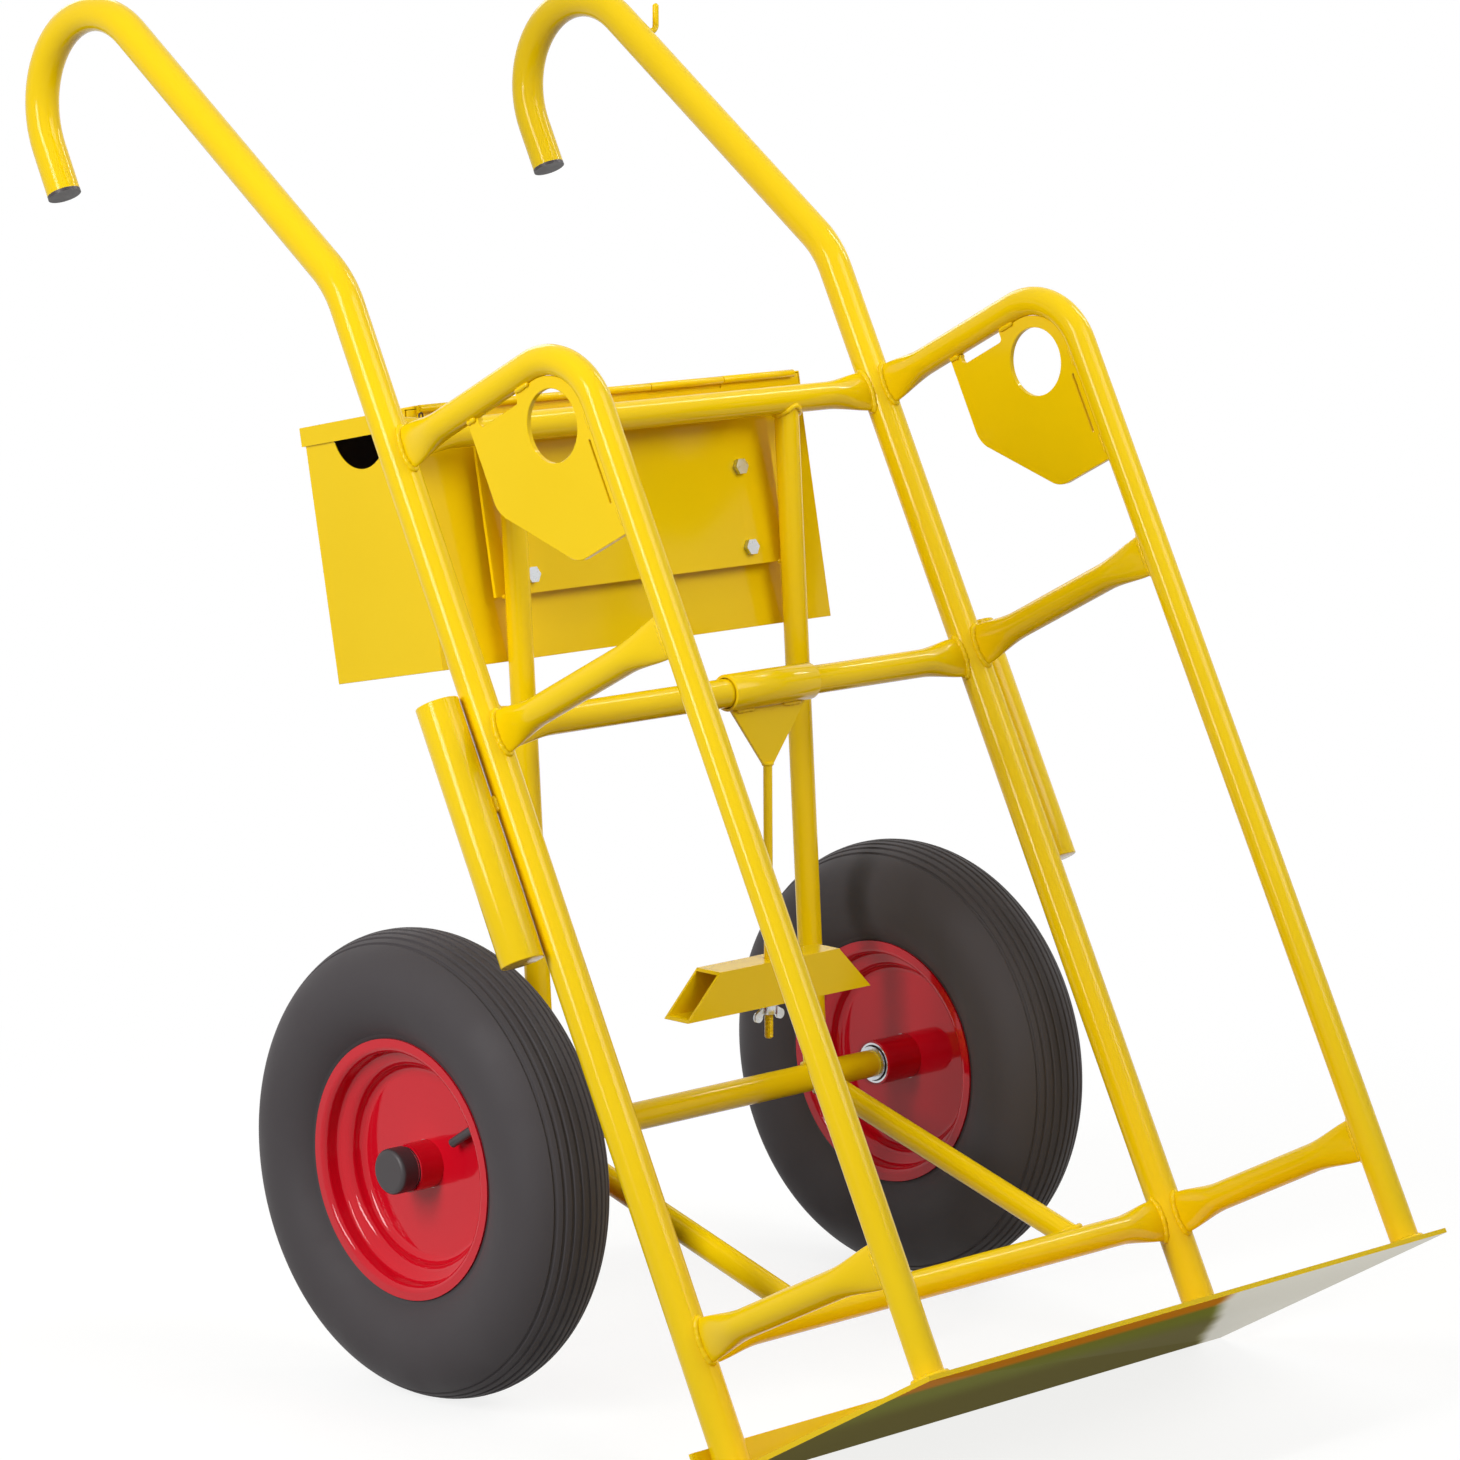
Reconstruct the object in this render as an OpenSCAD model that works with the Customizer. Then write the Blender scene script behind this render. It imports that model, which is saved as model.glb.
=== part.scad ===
// Gas cylinder trolley for two bottles, leaning back at rest on its wheels and the heel of its toe plate.
// Millimetres, +Z up, the toe plate faces -Y. The origin is on the floor under the middle of the part.
// Pieces are drawn in the frame's own axes (uprights along Z, heel of the toe plate at Z 0) and leant back.

/* [Uprights and handles] */
// distance between the axes of the two uprights
track = 574; // [500:1:680]
// outside diameter of an upright
upright_d = 30; // [26:0.5:40]
// wall of the tubes
tube_wall = 2; // [1.5:0.1:3]
// height of the elbow where the handle leans back
elbow_height = 1041; // [960:1:1150]
// lean of the handle from the upright
handle_angle = 27; // [15:1:35]
// bend radius of the elbow
elbow_radius = 90; // [60:1:120]
// length of the handle from the elbow to its hook
handle_length = 343; // [260:1:420]
// bend radius of the hooked handle end
hook_radius = 82; // [60:1:110]
// straight end of the hook
hook_drop = 43; // [15:1:80]

/* [Front frame] */
// outside diameter of hoops, crossbars and struts
bar_d = 25; // [20:0.5:30]
// distance from the uprights forward to the hoops
hoop_reach = 247; // [200:1:320]
// bend radius of the hoop's corner
hoop_radius = 60; // [45:1:90]
// height of the top crossbar and the hoop's top
top_height = 900; // [820:1:980]
// how much lower the left hoop is welded on than the right one
left_hoop_drop = 14; // [0:0.5:25]
// height of the middle crossbar and struts
middle_height = 642; // [560:1:720]
// height of the bottom crossbar and struts
bottom_height = 112; // [90:1:180]
// how much lower than its crossbar the left middle strut sits
left_strut_drop = 8; // [0:0.5:15]
// how much higher than its crossbar the right middle strut sits
right_strut_rise = 4; // [0:0.5:15]
// height of a flattened tube end
crimp_height = 37; // [28:0.5:42]
// thickness of a flattened tube end
crimp_thickness = 10; // [7:0.5:14]
// length over which a tube end is flattened
crimp_length = 55; // [35:1:80]
// outside diameter of the braces
brace_d = 22; // [18:0.5:25]
// half the distance between the two upper braces
brace_offset = 163.5; // [120:0.5:180]
// how far to the right of the middle the braces are welded on
brace_shift = 6.5; // [-10:0.5:10]

/* [Toe plate and lifting plates] */
// thickness of the toe plate
toe_thickness = 4; // [3:0.5:6]
// width of the toe plate
toe_width = 624; // [560:1:720]
// reach of the toe plate in front of the uprights
toe_reach = 272; // [240:1:340]
// rise of the toe plate towards its front, in degrees
toe_rise = 2.75; // [0:0.25:6]
// height of the lip behind the uprights
toe_lip = 31; // [20:1:50]
// thickness of a lifting plate
lift_thickness = 5; // [4:0.5:8]
// diameter of the lifting eye
lift_eye_d = 60; // [40:1:70]

/* [Wheels] */
// tyre diameter
tyre_d = 400; // [380:2:420]
// distance between the middles of the wheels
wheel_track = 575; // [520:1:640]
// axle behind the uprights
axle_back = 244; // [220:1:280]
// axle above the heel of the toe plate
axle_height = 341; // [300:1:380]
// axle diameter
axle_d = 25; // [20:0.5:30]
// diameter of the rim flange
rim_d = 222; // [212:1:230]
// width over the rim flanges
rim_width = 67; // [60:0.5:76]
// diameter of the hub
hub_d = 41; // [40:0.5:46]

/* [Tool box] */
// width of the box
box_width = 462; // [360:1:480]
// depth of the box
box_depth = 140; // [110:1:180]
// height of the box with its lid
box_height = 223; // [180:1:260]
// lean of the box from the uprights
box_tilt = 16; // [10:1:22]
// sheet of the box and lid
box_sheet = 1.5; // [1:0.1:2.5]
// height of the lid's lip
lid_lip = 15; // [10:1:25]
// half width of the hose notch in the side walls
notch_radius = 36; // [20:1:45]

/* [Cylinder clamp] */
// place of the clamp along the middle crossbar
clamp_x = 32; // [-60:1:60]
// length of the sleeve
sleeve_length = 100; // [70:1:120]
// outside diameter of the sleeve
sleeve_d = 32; // [31:0.5:36]
// distance from the crossbar to the top of the bar
clamp_reach = 238; // [200:1:270]
// length of the bar's long side
clamp_bar_length = 222; // [180:1:240]
// height of the bar
clamp_bar_height = 39; // [30:1:50]
// depth of the bar
clamp_bar_depth = 30; // [25:1:40]
// diameter of the threaded rod
clamp_rod_d = 8; // [6:0.5:12]

/* [Rod holders] */
// outside diameter of a welding-rod holder
holder_d = 37; // [28:0.5:40]
// height of the holder's lower end
holder_low = 448; // [420:1:500]
// length of a holder
holder_length = 226; // [150:1:240]
// how far round towards the back a holder sits, in degrees
holder_turn = 25; // [20:1:50]
// gap between a holder and its upright, bridged by a tack weld
holder_clear = 1.4; // [0.4:0.1:5]

/* [Hidden] */
fine = 96;

// Clearances: weld gap between fixed pieces, air between moving ones, play of a running or slip fit.
weld_gap = 0.2;
air = 0.4;
play = 0.03;
// Bends are this much fuller than straights, which reach into them by the lap.
swell = 0.05;
lap = 0.4;

hw = track / 2;
upright_r = upright_d / 2;
bar_r = bar_d / 2;
brace_r = brace_d / 2;
tyre_r = tyre_d / 2;
axle_r = axle_d / 2;
wheel_x = wheel_track / 2;

// Toe plate: the heel is bent round this centre, its outside radius touches the floor.
heel_inner = 3;
heel_outer = heel_inner + toe_thickness;
heel_y = upright_r + weld_gap - heel_inner;
toe_flat = (heel_y + toe_reach) / cos(toe_rise) - heel_outer * tan(toe_rise);

// Fillet welds at the feet, on the toe plate: leg, flat top, part inside the sheet, room round the tube
foot_weld_leg = 3;
foot_weld_land = 0.5;
foot_weld_root = 1.5;
foot_weld_clear = 0.3;

// The trolley leans back until wheels and heel stand on one floor.
heel_touch = heel_outer + swell;
heel_to_axle = norm([axle_back - heel_y, axle_height - heel_outer]);
lean = atan2(axle_height - heel_outer, axle_back - heel_y) - asin((tyre_r - heel_touch) / heel_to_axle);
stand_z = tyre_r - axle_height * cos(lean) + axle_back * sin(lean);

// Front and back of the leant part, to centre it over the origin.
toe_front_z = heel_outer - heel_outer / cos(toe_rise) + (heel_y + toe_reach) * tan(toe_rise);
hook_y = handle_length * sin(handle_angle) + hook_radius * cos(handle_angle);
hook_z = elbow_height + handle_length * cos(handle_angle) - hook_radius * sin(handle_angle);
front_limit = toe_front_z * sin(lean) - toe_reach * cos(lean);
back_limit = hook_y * cos(lean) + hook_z * sin(lean) + hook_radius + upright_r + swell;
stand_y = -(front_limit + back_limit) / 2;

// Tubes
elbow_tangent = elbow_radius * tan(handle_angle / 2);
hook_turn = 180 - handle_angle;
weld_inset = 2;
plug_flange = 3;
plug_depth = 20;
crimp_rings = 5;
crimp_points = 24;
crimp_swell = 2 * swell;

// Brace line, from the top crossbar's axis to the axle
brace_slope = axle_back / (top_height - axle_height);
brace_lean = atan(brace_slope);

// Lifting plate: rear edge, lower edge, cut corner, eye and slot, as distances forward and up
lift_back = 97;
lift_drop = 164;
lift_cut = 72;
lift_round = 12;
lift_eye_forward = 191;
lift_eye_drop = 54;
slot_back = 18;
slot_length = 46;
slot_depth = 8;
slot_round = 3.5;
slit = 2;
slit_rise = 28;
slit_length = 55;

// Mounting plate behind the braces, in axes that lean with the box from its lower front edge
plate_sheet = 3;
plate_bend = 3;
plate_width = 344;
flange_width = 280;
plate_drop = 127;
plate_low = top_height - plate_drop;
plate_y = plate_drop * brace_slope + brace_r / cos(brace_lean) + weld_gap;
bar_from_plate_y = plate_drop * sin(box_tilt) - plate_y * cos(box_tilt);
bar_from_plate_z = plate_drop * cos(box_tilt) + plate_y * sin(box_tilt);
plate_straight = bar_from_plate_z - plate_sheet / 2 - plate_bend;
flange_length = -bar_from_plate_y - bar_r - weld_gap - plate_bend;

// Tool box: origin at its front lower edge, Y to the back and Z up its front wall
box_drop = 55;
box_front = 12.8;
wall_top = box_height - box_sheet - 0.5;
notch_back = 66;
notch_drop = 8;
bolt_x = 130;
bolt_low = 70.4;
bolt_gap = 72;
bolt_r = 4;
bolt_hole_r = 4.5;
bolt_head = 5;
bolt_head_r = 7.5;
bolt_end = 12;
nut_thickness = 6.5;
spacer_r = 8;
hinge_r = 3.5;
hinge_pin_r = 1.5;
hinge_leaf = 1.2;
hinge_clear = 0.5;
hinge_y = -hinge_r - hinge_clear;
hinge_z = box_height + weld_gap + hinge_leaf - hinge_r;
hinge_count = 5;
hinge_margin = 10;
hinge_length = box_width - 2 * hinge_margin;
knuckle = hinge_length / hinge_count;
leaf_depth = 26;
lid_gap = 1;
lid_front = 0.6;

// Wheel parts, X outward from the middle of the tyre
rim_sheet = 2.5;
rim_r = rim_d / 2;
rim_half = rim_width / 2;
seat_r = rim_r - 10;
rim_well = [[7, 80], [2], [5, -60], [6], [4, 65]];
rim_flange = [3, -85];
seat_turn = 85;
well_end = walk(rim_well, rim_sheet);
flange_end = walk([rim_flange], rim_sheet, 0, [0, 0], seat_turn);
disc_length = seat_r - hub_d / 2 - weld_gap - well_end[0];
seat_length = (rim_half - rim_sheet - weld_gap / 2 - well_end[1] - flange_end[1]) / sin(seat_turn);
flange_rise = rim_r - seat_r - seat_length * cos(seat_turn) - flange_end[0];
hub_inner = -44;
hub_outer = 26;
hub_bore_r = 16.5;
bearing_r = 18.5;
bearing_w = 7;
bearing_inset = 0.5;
race_r = 15.5;
ball_r = 1.8;
ball_count = 11;
ball_gap = 0.1;
inner_ring_r = 14.3;
outer_ring_r = 16.7;
seal_inner_r = 14.65;
seal_w = 0.8;
bead_r = seat_r + 1.2;
bead_toe = 18;
bead_side = rim_half - rim_sheet - 1;
bead_slant = 4;
section_r = (tyre_r - seat_r - 1) / 2;
section_at = tyre_r - section_r;
casing = 9;
tread = 11;
cavity_r = section_r - casing;
cavity_at = tyre_r - tread - cavity_r;
groove = 2;
groove_turn = 9;
groove_pairs = 4;
inner_tube_r = cavity_r - 0.7;
inner_tube_wall = 1.5;
valve_x = 11;
valve_r = 4;
valve_bore_r = 1.5;
valve_pad_r = 6;
valve_pad = 2.5;
valve_hole_r = 5.5;
valve_tip = 50;
valve_root = cavity_at - inner_tube_r - air;
left_valve_turn = 175;
right_valve_turn = 60;
cap_r = 19.5;
cap_round = 4;
cap_end = 46;
axle_wall = 4;
axle_end = 40;
washer_thickness = 2;
washer_r = 18;
retainer_r = 15.5;

// Clamp, hanging straight down from the middle crossbar
sleeve_r = sleeve_d / 2;
sleeve_play = 1;
rod_r = clamp_rod_d / 2;
rod_play = 0.5;
hanger_sheet = 3;
hanger_drop = 67;
hanger_inset = 6;
hanger_foot = 6;
clamp_wall = 2.5;
clamp_low = clamp_reach + clamp_bar_height;
rod_tail = 32;
clamp_washer_r = 10;
clamp_washer_h = 1.6;
nut_r = 7.5;
nut_height = 8;
wing_reach = 13;
wing_r = 4.5;
wing_drop = 10;
wing_sheet = 3;

// Holders and hose hook
holder_wall = 2.5;
holder_gap = upright_r + holder_d / 2 + holder_clear;
tack_rise = 124;
tack_length = 16;
tack_r = 4;
hose_hook_at = handle_length - 21;
hose_hook_d = 6;
hose_hook_out = 10;
hose_hook_bend = 6;
hose_hook_up = 20;

// Height of a hoop's top run
function hoop_top(s) = top_height - (s < 0 ? left_hoop_drop : 0);
// Height of the toe plate's upper face at a depth y
function toe_top(y) = heel_outer - heel_inner / cos(toe_rise) + (heel_y - y) * tan(toe_rise);
// Ease from 0 to 1 with flat ends
function ease(s) = s * s * (3 - 2 * s);
// Value between a and b
function mix(a, b, s) = a + (b - a) * s;
// End point of a bent sheet's path, in the steps that sheet_path() takes
function walk(steps, t, i = 0, p = [0, 0], a = 0) =
    i == len(steps) ? p :
    len(steps[i]) == 1 ? walk(steps, t, i + 1, p + steps[i][0] * [cos(a), sin(a)], a) :
    let (turn = steps[i][1])
    let (r = turn > 0 ? t + steps[i][0] : -steps[i][0])
    let (b = a + turn)
    walk(steps, t, i + 1, p + r * [sin(b) - sin(a), cos(a) - cos(b)], b);

module stand() translate([0, stand_y, stand_z]) rotate([-lean, 0, 0]) children();
module side(s) {
    if (s < 0) mirror([1, 0, 0]) children();
    else children();
}
module yellow() color([0.96, 0.76, 0.03]) children();
module red() color([0.78, 0.05, 0.08]) children();
module black() color([0.09, 0.09, 0.1]) children();
module zinc() color([0.75, 0.76, 0.78]) children();
module steel() color([0.62, 0.63, 0.65]) children();

// Ring shape of a tube, or a disc when it has no wall; a bend is a little fuller by more
module tube_ring(d, wall = tube_wall, more = 0) {
    difference() {
        circle(d = d + 2 * more, $fn = fine);
        if (wall > 0) circle(d = d - 2 * wall - 2 * more, $fn = fine);
    }
}

// Tube along a path that starts along +Z. A step is [length] or [radius, angle], a bend that turns the
// path towards +Y. Straights reach a little way into the fuller bends, so that the pieces join.
module tube_path(steps, d, wall = tube_wall, i = 0) {
    if (i < len(steps)) {
        s = steps[i];
        before = i > 0 ? lap : 0;
        after = i < len(steps) - 1 ? lap : 0;
        if (len(s) == 1) {
            translate([0, 0, -before]) linear_extrude(before + s[0] + after) tube_ring(d, wall);
            translate([0, 0, s[0]]) tube_path(steps, d, wall, i + 1);
        } else {
            translate([0, s[0], 0]) {
                rotate([90, 0, -90]) rotate_extrude(angle = s[1], $fn = fine) translate([s[0], 0])
                    tube_ring(d, wall, swell);
                rotate([-s[1], 0, 0]) translate([0, -s[0], 0]) tube_path(steps, d, wall, i + 1);
            }
        }
    }
}

// Flattened end: from a round of radius r at Z 0 to an oval tall along X at crimp_length. Its facets start
// a little fuller than the round tube, which reaches into it, so that the two join.
module crimp_solid(r, tall, thin) {
    n = crimp_points;
    rings = [for (k = [0 : crimp_rings]) for (p = [0 : n - 1])
        let (s = k / crimp_rings, a = p * 360 / n)
        [mix(r, tall, ease(s)) * cos(a), mix(r, thin, ease(s)) * sin(a), s * crimp_length]];
    walls = [for (k = [0 : crimp_rings - 1]) for (p = [0 : n - 1]) for (h = [0, 1])
        let (q = (p + 1) % n, a = k * n, b = a + n)
        h == 0 ? [a + p, b + p, b + q] : [a + p, b + q, a + q]];
    floor_face = [for (p = [0 : n - 1]) p];
    roof_face = [for (p = [n - 1 : -1 : 0]) crimp_rings * n + p];
    polyhedron(points = rings, faces = concat(walls, [floor_face, roof_face]));
}
module crimp() {
    difference() {
        crimp_solid((bar_r + crimp_swell) / cos(180 / crimp_points), crimp_height / 2, crimp_thickness / 2);
        crimp_solid(bar_r - tube_wall - crimp_swell, crimp_height / 2 - tube_wall,
            crimp_thickness / 2 - tube_wall);
    }
}
// Round tube along Z with both ends flattened, tall along X
module crimped_bar(length) {
    straight = length - 2 * crimp_length;
    translate([0, 0, crimp_length - lap]) linear_extrude(straight + 2 * lap) tube_ring(bar_d);
    translate([0, 0, length - crimp_length]) crimp();
    translate([0, 0, crimp_length]) mirror([0, 0, 1]) crimp();
}

// Sheet bent along a path from the origin along +X, on the left of the path. A step is [length] or
// [inside radius, angle], turning left when the angle is positive. Straights reach into the bends.
module sheet_path(steps, t, i = 0) {
    if (i < len(steps)) {
        s = steps[i];
        before = i > 0 ? lap : 0;
        after = i < len(steps) - 1 ? lap : 0;
        if (len(s) == 1) {
            translate([-before, 0]) square([before + s[0] + after, t]);
            translate([s[0], 0]) sheet_path(steps, t, i + 1);
        } else if (s[1] > 0) {
            translate([0, t + s[0]]) {
                ring_sector(s[0] - swell, s[0] + t + swell, -90, s[1] - 90);
                rotate(s[1]) translate([0, -t - s[0]]) sheet_path(steps, t, i + 1);
            }
        } else {
            translate([0, -s[0]]) {
                ring_sector(s[0] - swell, s[0] + t + swell, 90 + s[1], 90);
                rotate(s[1]) translate([0, s[0]]) sheet_path(steps, t, i + 1);
            }
        }
    }
}
module ring_sector(inner, outer, from, to) {
    far = 2 * outer;
    middle = (from + to) / 2;
    intersection() {
        difference() {
            circle(r = outer, $fn = fine);
            circle(r = inner, $fn = fine);
        }
        polygon([[0, 0], far * [cos(from), sin(from)], far * [cos(middle), sin(middle)],
            far * [cos(to), sin(to)]]);
    }
}
// Extrude a profile drawn as [y, z] along X over a width centred on the middle
module across(width) translate([-width / 2, 0, 0]) rotate([90, 0, 90]) linear_extrude(width) children();
// Revolve a profile drawn as [radius, x] about the X axis
module lathe() rotate([0, 90, 0]) rotate_extrude($fn = fine) children();
// Ring about the X axis from x0 to x1
module ring(inner, outer, x0, x1) lathe() translate([inner, x0]) square([outer - inner, x1 - x0]);
// Round bar along X, to cope a tube against
module cross_cut(r) rotate([0, 90, 0]) cylinder(h = 3 * bar_d, r = r + weld_gap, center = true, $fn = fine);
// Round bar along Z that a flattened end is coped against
module post_cut(r) translate([0, 0, -crimp_height])
    cylinder(h = 2 * crimp_height, r = r + weld_gap, $fn = fine);

// What the toe plate takes off the feet that stand on it
module foot_cut() across(toe_width) polygon([[upright_r + heel_inner, -heel_outer],
    [upright_r + heel_inner, heel_outer], [heel_y, heel_outer], [heel_y, toe_top(heel_y) + weld_gap],
    [-toe_reach, toe_top(-toe_reach) + weld_gap], [-toe_reach, -heel_outer]]);

// Uprights with handles
module upright(s) yellow() stand() difference() {
    side(s) translate([hw, 0, 0]) tube_path([[elbow_height - elbow_tangent], [elbow_radius, handle_angle],
        [handle_length - elbow_tangent], [hook_radius, hook_turn], [hook_drop]], upright_d);
    foot_cut();
}
module left_upright() upright(-1);
module right_upright() upright(1);

// Plugs in the open ends of the handles
module end_plugs() black() stand() for (s = [-1, 1])
    translate([s * hw, hook_y + hook_radius, hook_z - hook_drop]) {
        translate([0, 0, -plug_flange]) cylinder(h = plug_flange, r = upright_r, $fn = fine);
        cylinder(h = plug_depth, r = upright_r - tube_wall - play, $fn = fine);
    }

// Front hoops: flattened where they meet the uprights, then forward and down to the toe plate
module front_hoop(s) {
    start = upright_r - weld_inset;
    yellow() stand() difference() {
        side(s) translate([hw, -start, hoop_top(s)]) rotate([90, 0, 0]) translate([0, 0, crimp_length]) {
            rotate([0, 180, 90]) crimp();
            translate([0, 0, -lap]) mirror([0, 1, 0]) tube_path([
                [lap + hoop_reach - hoop_radius - start - crimp_length],
                [hoop_radius, 90], [hoop_top(s) - hoop_radius]], bar_d);
        }
        translate([s * hw, 0, hoop_top(s)]) post_cut(upright_r);
        foot_cut();
    }
}
module left_front_hoop() front_hoop(-1);
module right_front_hoop() front_hoop(1);

// Crossbars between the uprights
module crossbar(height) {
    length = track - upright_d + 2 * weld_inset;
    yellow() stand() difference() {
        translate([-length / 2, 0, height]) rotate([0, 90, 0]) crimped_bar(length);
        for (s = [-1, 1]) translate([s * hw, 0, height]) post_cut(upright_r);
    }
}
module top_crossbar() crossbar(top_height);
module middle_crossbar() crossbar(middle_height);
module bottom_crossbar() crossbar(bottom_height);

// Side struts from an upright forward to the hoop
module side_strut(s, height) {
    length = hoop_reach - upright_r - bar_r + 2 * weld_inset;
    yellow() stand() translate([s * hw, 0, height]) difference() {
        translate([0, weld_inset - upright_r, 0]) rotate([90, 0, 0]) rotate(90) crimped_bar(length);
        post_cut(upright_r);
        translate([0, -hoop_reach, 0]) post_cut(bar_r);
    }
}
module left_middle_strut() side_strut(-1, middle_height - left_strut_drop);
module right_middle_strut() side_strut(1, middle_height + right_strut_rise);
module left_lower_strut() side_strut(-1, bottom_height);
module right_lower_strut() side_strut(1, bottom_height);

// Lifting plates inside the hoops' corners, drawn as [distance forward, distance down from the top edge]
module lifting_plate(s) {
    front = hoop_reach - bar_r - weld_gap;
    corner = hoop_radius - bar_r - weld_gap;
    bend = front - corner;
    low = lift_drop - bar_r - weld_gap;
    edge = lift_round * tan(22.5);
    edge_slant = edge * sqrt(0.5);
    cut_high = low - lift_cut;
    cut_front = lift_back + lift_cut;
    yellow() stand() translate([s * hw - lift_thickness / 2, 0, hoop_top(s) - bar_r - weld_gap])
        rotate([90, 0, 90]) linear_extrude(lift_thickness) mirror([1, 0]) mirror([0, 1]) difference() {
            union() {
                polygon([[bend, 0], [bend, corner], [front, corner], [front, low],
                    [cut_front + edge, low], [cut_front - edge_slant, low - edge_slant],
                    [lift_back + edge_slant, cut_high + edge_slant], [lift_back, cut_high - edge],
                    [lift_back, 0]]);
                translate([bend, corner]) circle(r = corner - swell, $fn = fine);
                translate([lift_back + lift_round, cut_high - edge]) circle(r = lift_round - swell, $fn = fine);
                translate([cut_front + edge, low - lift_round]) circle(r = lift_round - swell, $fn = fine);
            }
            translate([lift_eye_forward, lift_eye_drop - bar_r]) circle(d = lift_eye_d, $fn = fine);
            translate([lift_back + slot_back, -slot_depth]) {
                square([slot_length, 2 * slot_depth - slot_round]);
                translate([slot_round, 0]) square([slot_length - 2 * slot_round, 2 * slot_depth]);
                for (x = [slot_round, slot_length - slot_round])
                    translate([x, 2 * slot_depth - slot_round]) circle(r = slot_round, $fn = fine);
            }
            translate([front - slit, low - slit_rise - slit_length]) square([2 * slit, slit_length]);
        }
}
module left_lifting_plate() lifting_plate(-1);
module right_lifting_plate() lifting_plate(1);

// Braces from the axle up to the top crossbar and down to the bottom crossbar
module brace_axis(height) translate([0, axle_back, axle_height])
    rotate([atan2(axle_back, height - axle_height), 0, 0]) children();
module upper_brace(s) yellow() stand() translate([s * brace_offset + brace_shift, 0, 0]) difference() {
    brace_axis(top_height) linear_extrude(norm([axle_back, top_height - axle_height])) tube_ring(brace_d);
    translate([0, axle_back, axle_height]) cross_cut(axle_r);
    translate([0, 0, top_height]) cross_cut(bar_r);
}
module lower_brace(s) yellow() stand() translate([s * brace_offset + brace_shift, 0, 0]) difference() {
    brace_axis(bottom_height)
        linear_extrude(norm([axle_back, bottom_height - axle_height])) tube_ring(brace_d);
    translate([0, axle_back, axle_height]) cross_cut(axle_r);
    translate([0, 0, bottom_height]) cross_cut(bar_r);
    brace_axis(top_height) cylinder(h = 2 * brace_d, r = brace_r + weld_gap, $fn = fine);
}
module left_upper_brace() upper_brace(-1);
module right_upper_brace() upper_brace(1);
module left_lower_brace() lower_brace(-1);
module right_lower_brace() lower_brace(1);

// Toe plate: a bent sheet, with its lip behind the uprights and fillet welds round the tubes' feet
module foot_weld(r) difference() {
    translate([0, 0, -foot_weld_root]) cylinder(h = foot_weld_root + foot_weld_leg, $fn = fine,
        r1 = r + foot_weld_clear + foot_weld_land + foot_weld_leg + foot_weld_root,
        r2 = r + foot_weld_clear + foot_weld_land);
    cylinder(h = 2 * upright_d, r = r + foot_weld_clear, center = true, $fn = fine);
    translate([-upright_d, upright_r + weld_gap + foot_weld_root / 2, -upright_d]) cube(2 * upright_d);
}
module toe_plate() yellow() stand() {
    across(toe_width) translate([heel_y + heel_inner, toe_lip]) rotate(-90)
        sheet_path([[toe_lip - heel_outer], [heel_inner, -90 - toe_rise], [toe_flat]], toe_thickness);
    for (s = [-1, 1]) {
        translate([s * hw, 0, toe_top(0)]) foot_weld(upright_r);
        translate([s * hw, -hoop_reach, toe_top(-hoop_reach)]) foot_weld(bar_r);
    }
}

module axle() yellow() stand() translate([0, axle_back, axle_height])
    ring(axle_r - axle_wall, axle_r, -wheel_x - axle_end, wheel_x + axle_end);

// Tool box and the plate that carries it
module box_axes() stand() translate([0, plate_y, plate_low]) rotate([box_tilt, 0, 0])
    translate([0, box_front, -box_drop]) children();
module bolt_places() for (x = [-bolt_x, bolt_x]) for (z = [bolt_low, bolt_low + bolt_gap])
    translate([x, 0, z]) rotate([-90, 0, 0]) children();
module bolt_holes() bolt_places() translate([0, 0, -box_front - plate_sheet])
    cylinder(h = box_front + 3 * plate_sheet, r = bolt_hole_r, $fn = fine);
module box_mounting_plate() yellow() box_axes() difference() {
    across(plate_width) translate([plate_sheet - box_front, box_drop]) rotate(90)
        sheet_path([[plate_straight], [plate_bend, 90], [flange_length]], plate_sheet);
    for (s = [0, 1]) mirror([s, 0, 0]) translate([flange_width / 2, -box_drop, box_drop + plate_straight])
        cube([plate_width, 2 * box_drop, box_drop]);
    bolt_holes();
}
module tool_box() yellow() box_axes() difference() {
    translate([-box_width / 2, 0, 0]) cube([box_width, box_depth, wall_top]);
    translate([box_sheet - box_width / 2, box_sheet, box_sheet])
        cube([box_width - 2 * box_sheet, box_depth - 2 * box_sheet, wall_top]);
    translate([0, notch_back, box_height - notch_drop]) rotate([0, 90, 0])
        cylinder(h = 2 * box_width, r = notch_radius, center = true, $fn = fine);
    bolt_holes();
}
module box_bolts() zinc() box_axes() bolt_places() translate([0, 0, -box_front - weld_gap]) {
    translate([0, 0, -bolt_head]) cylinder(h = bolt_head, r = bolt_head_r, $fn = 6);
    cylinder(h = box_front + bolt_end, r = bolt_r, $fn = fine);
}
module box_nuts() zinc() box_axes() bolt_places() translate([0, 0, box_sheet + weld_gap]) difference() {
    cylinder(h = nut_thickness, r = bolt_head_r, $fn = 6);
    cylinder(h = 3 * nut_thickness, r = bolt_r + play, center = true, $fn = fine);
}
module box_spacers() zinc() box_axes() bolt_places() translate([0, 0, plate_sheet - box_front + weld_gap])
    linear_extrude(box_front - plate_sheet - 2 * weld_gap) difference() {
        circle(r = spacer_r, $fn = fine);
        circle(r = bolt_hole_r, $fn = fine);
    }

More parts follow.
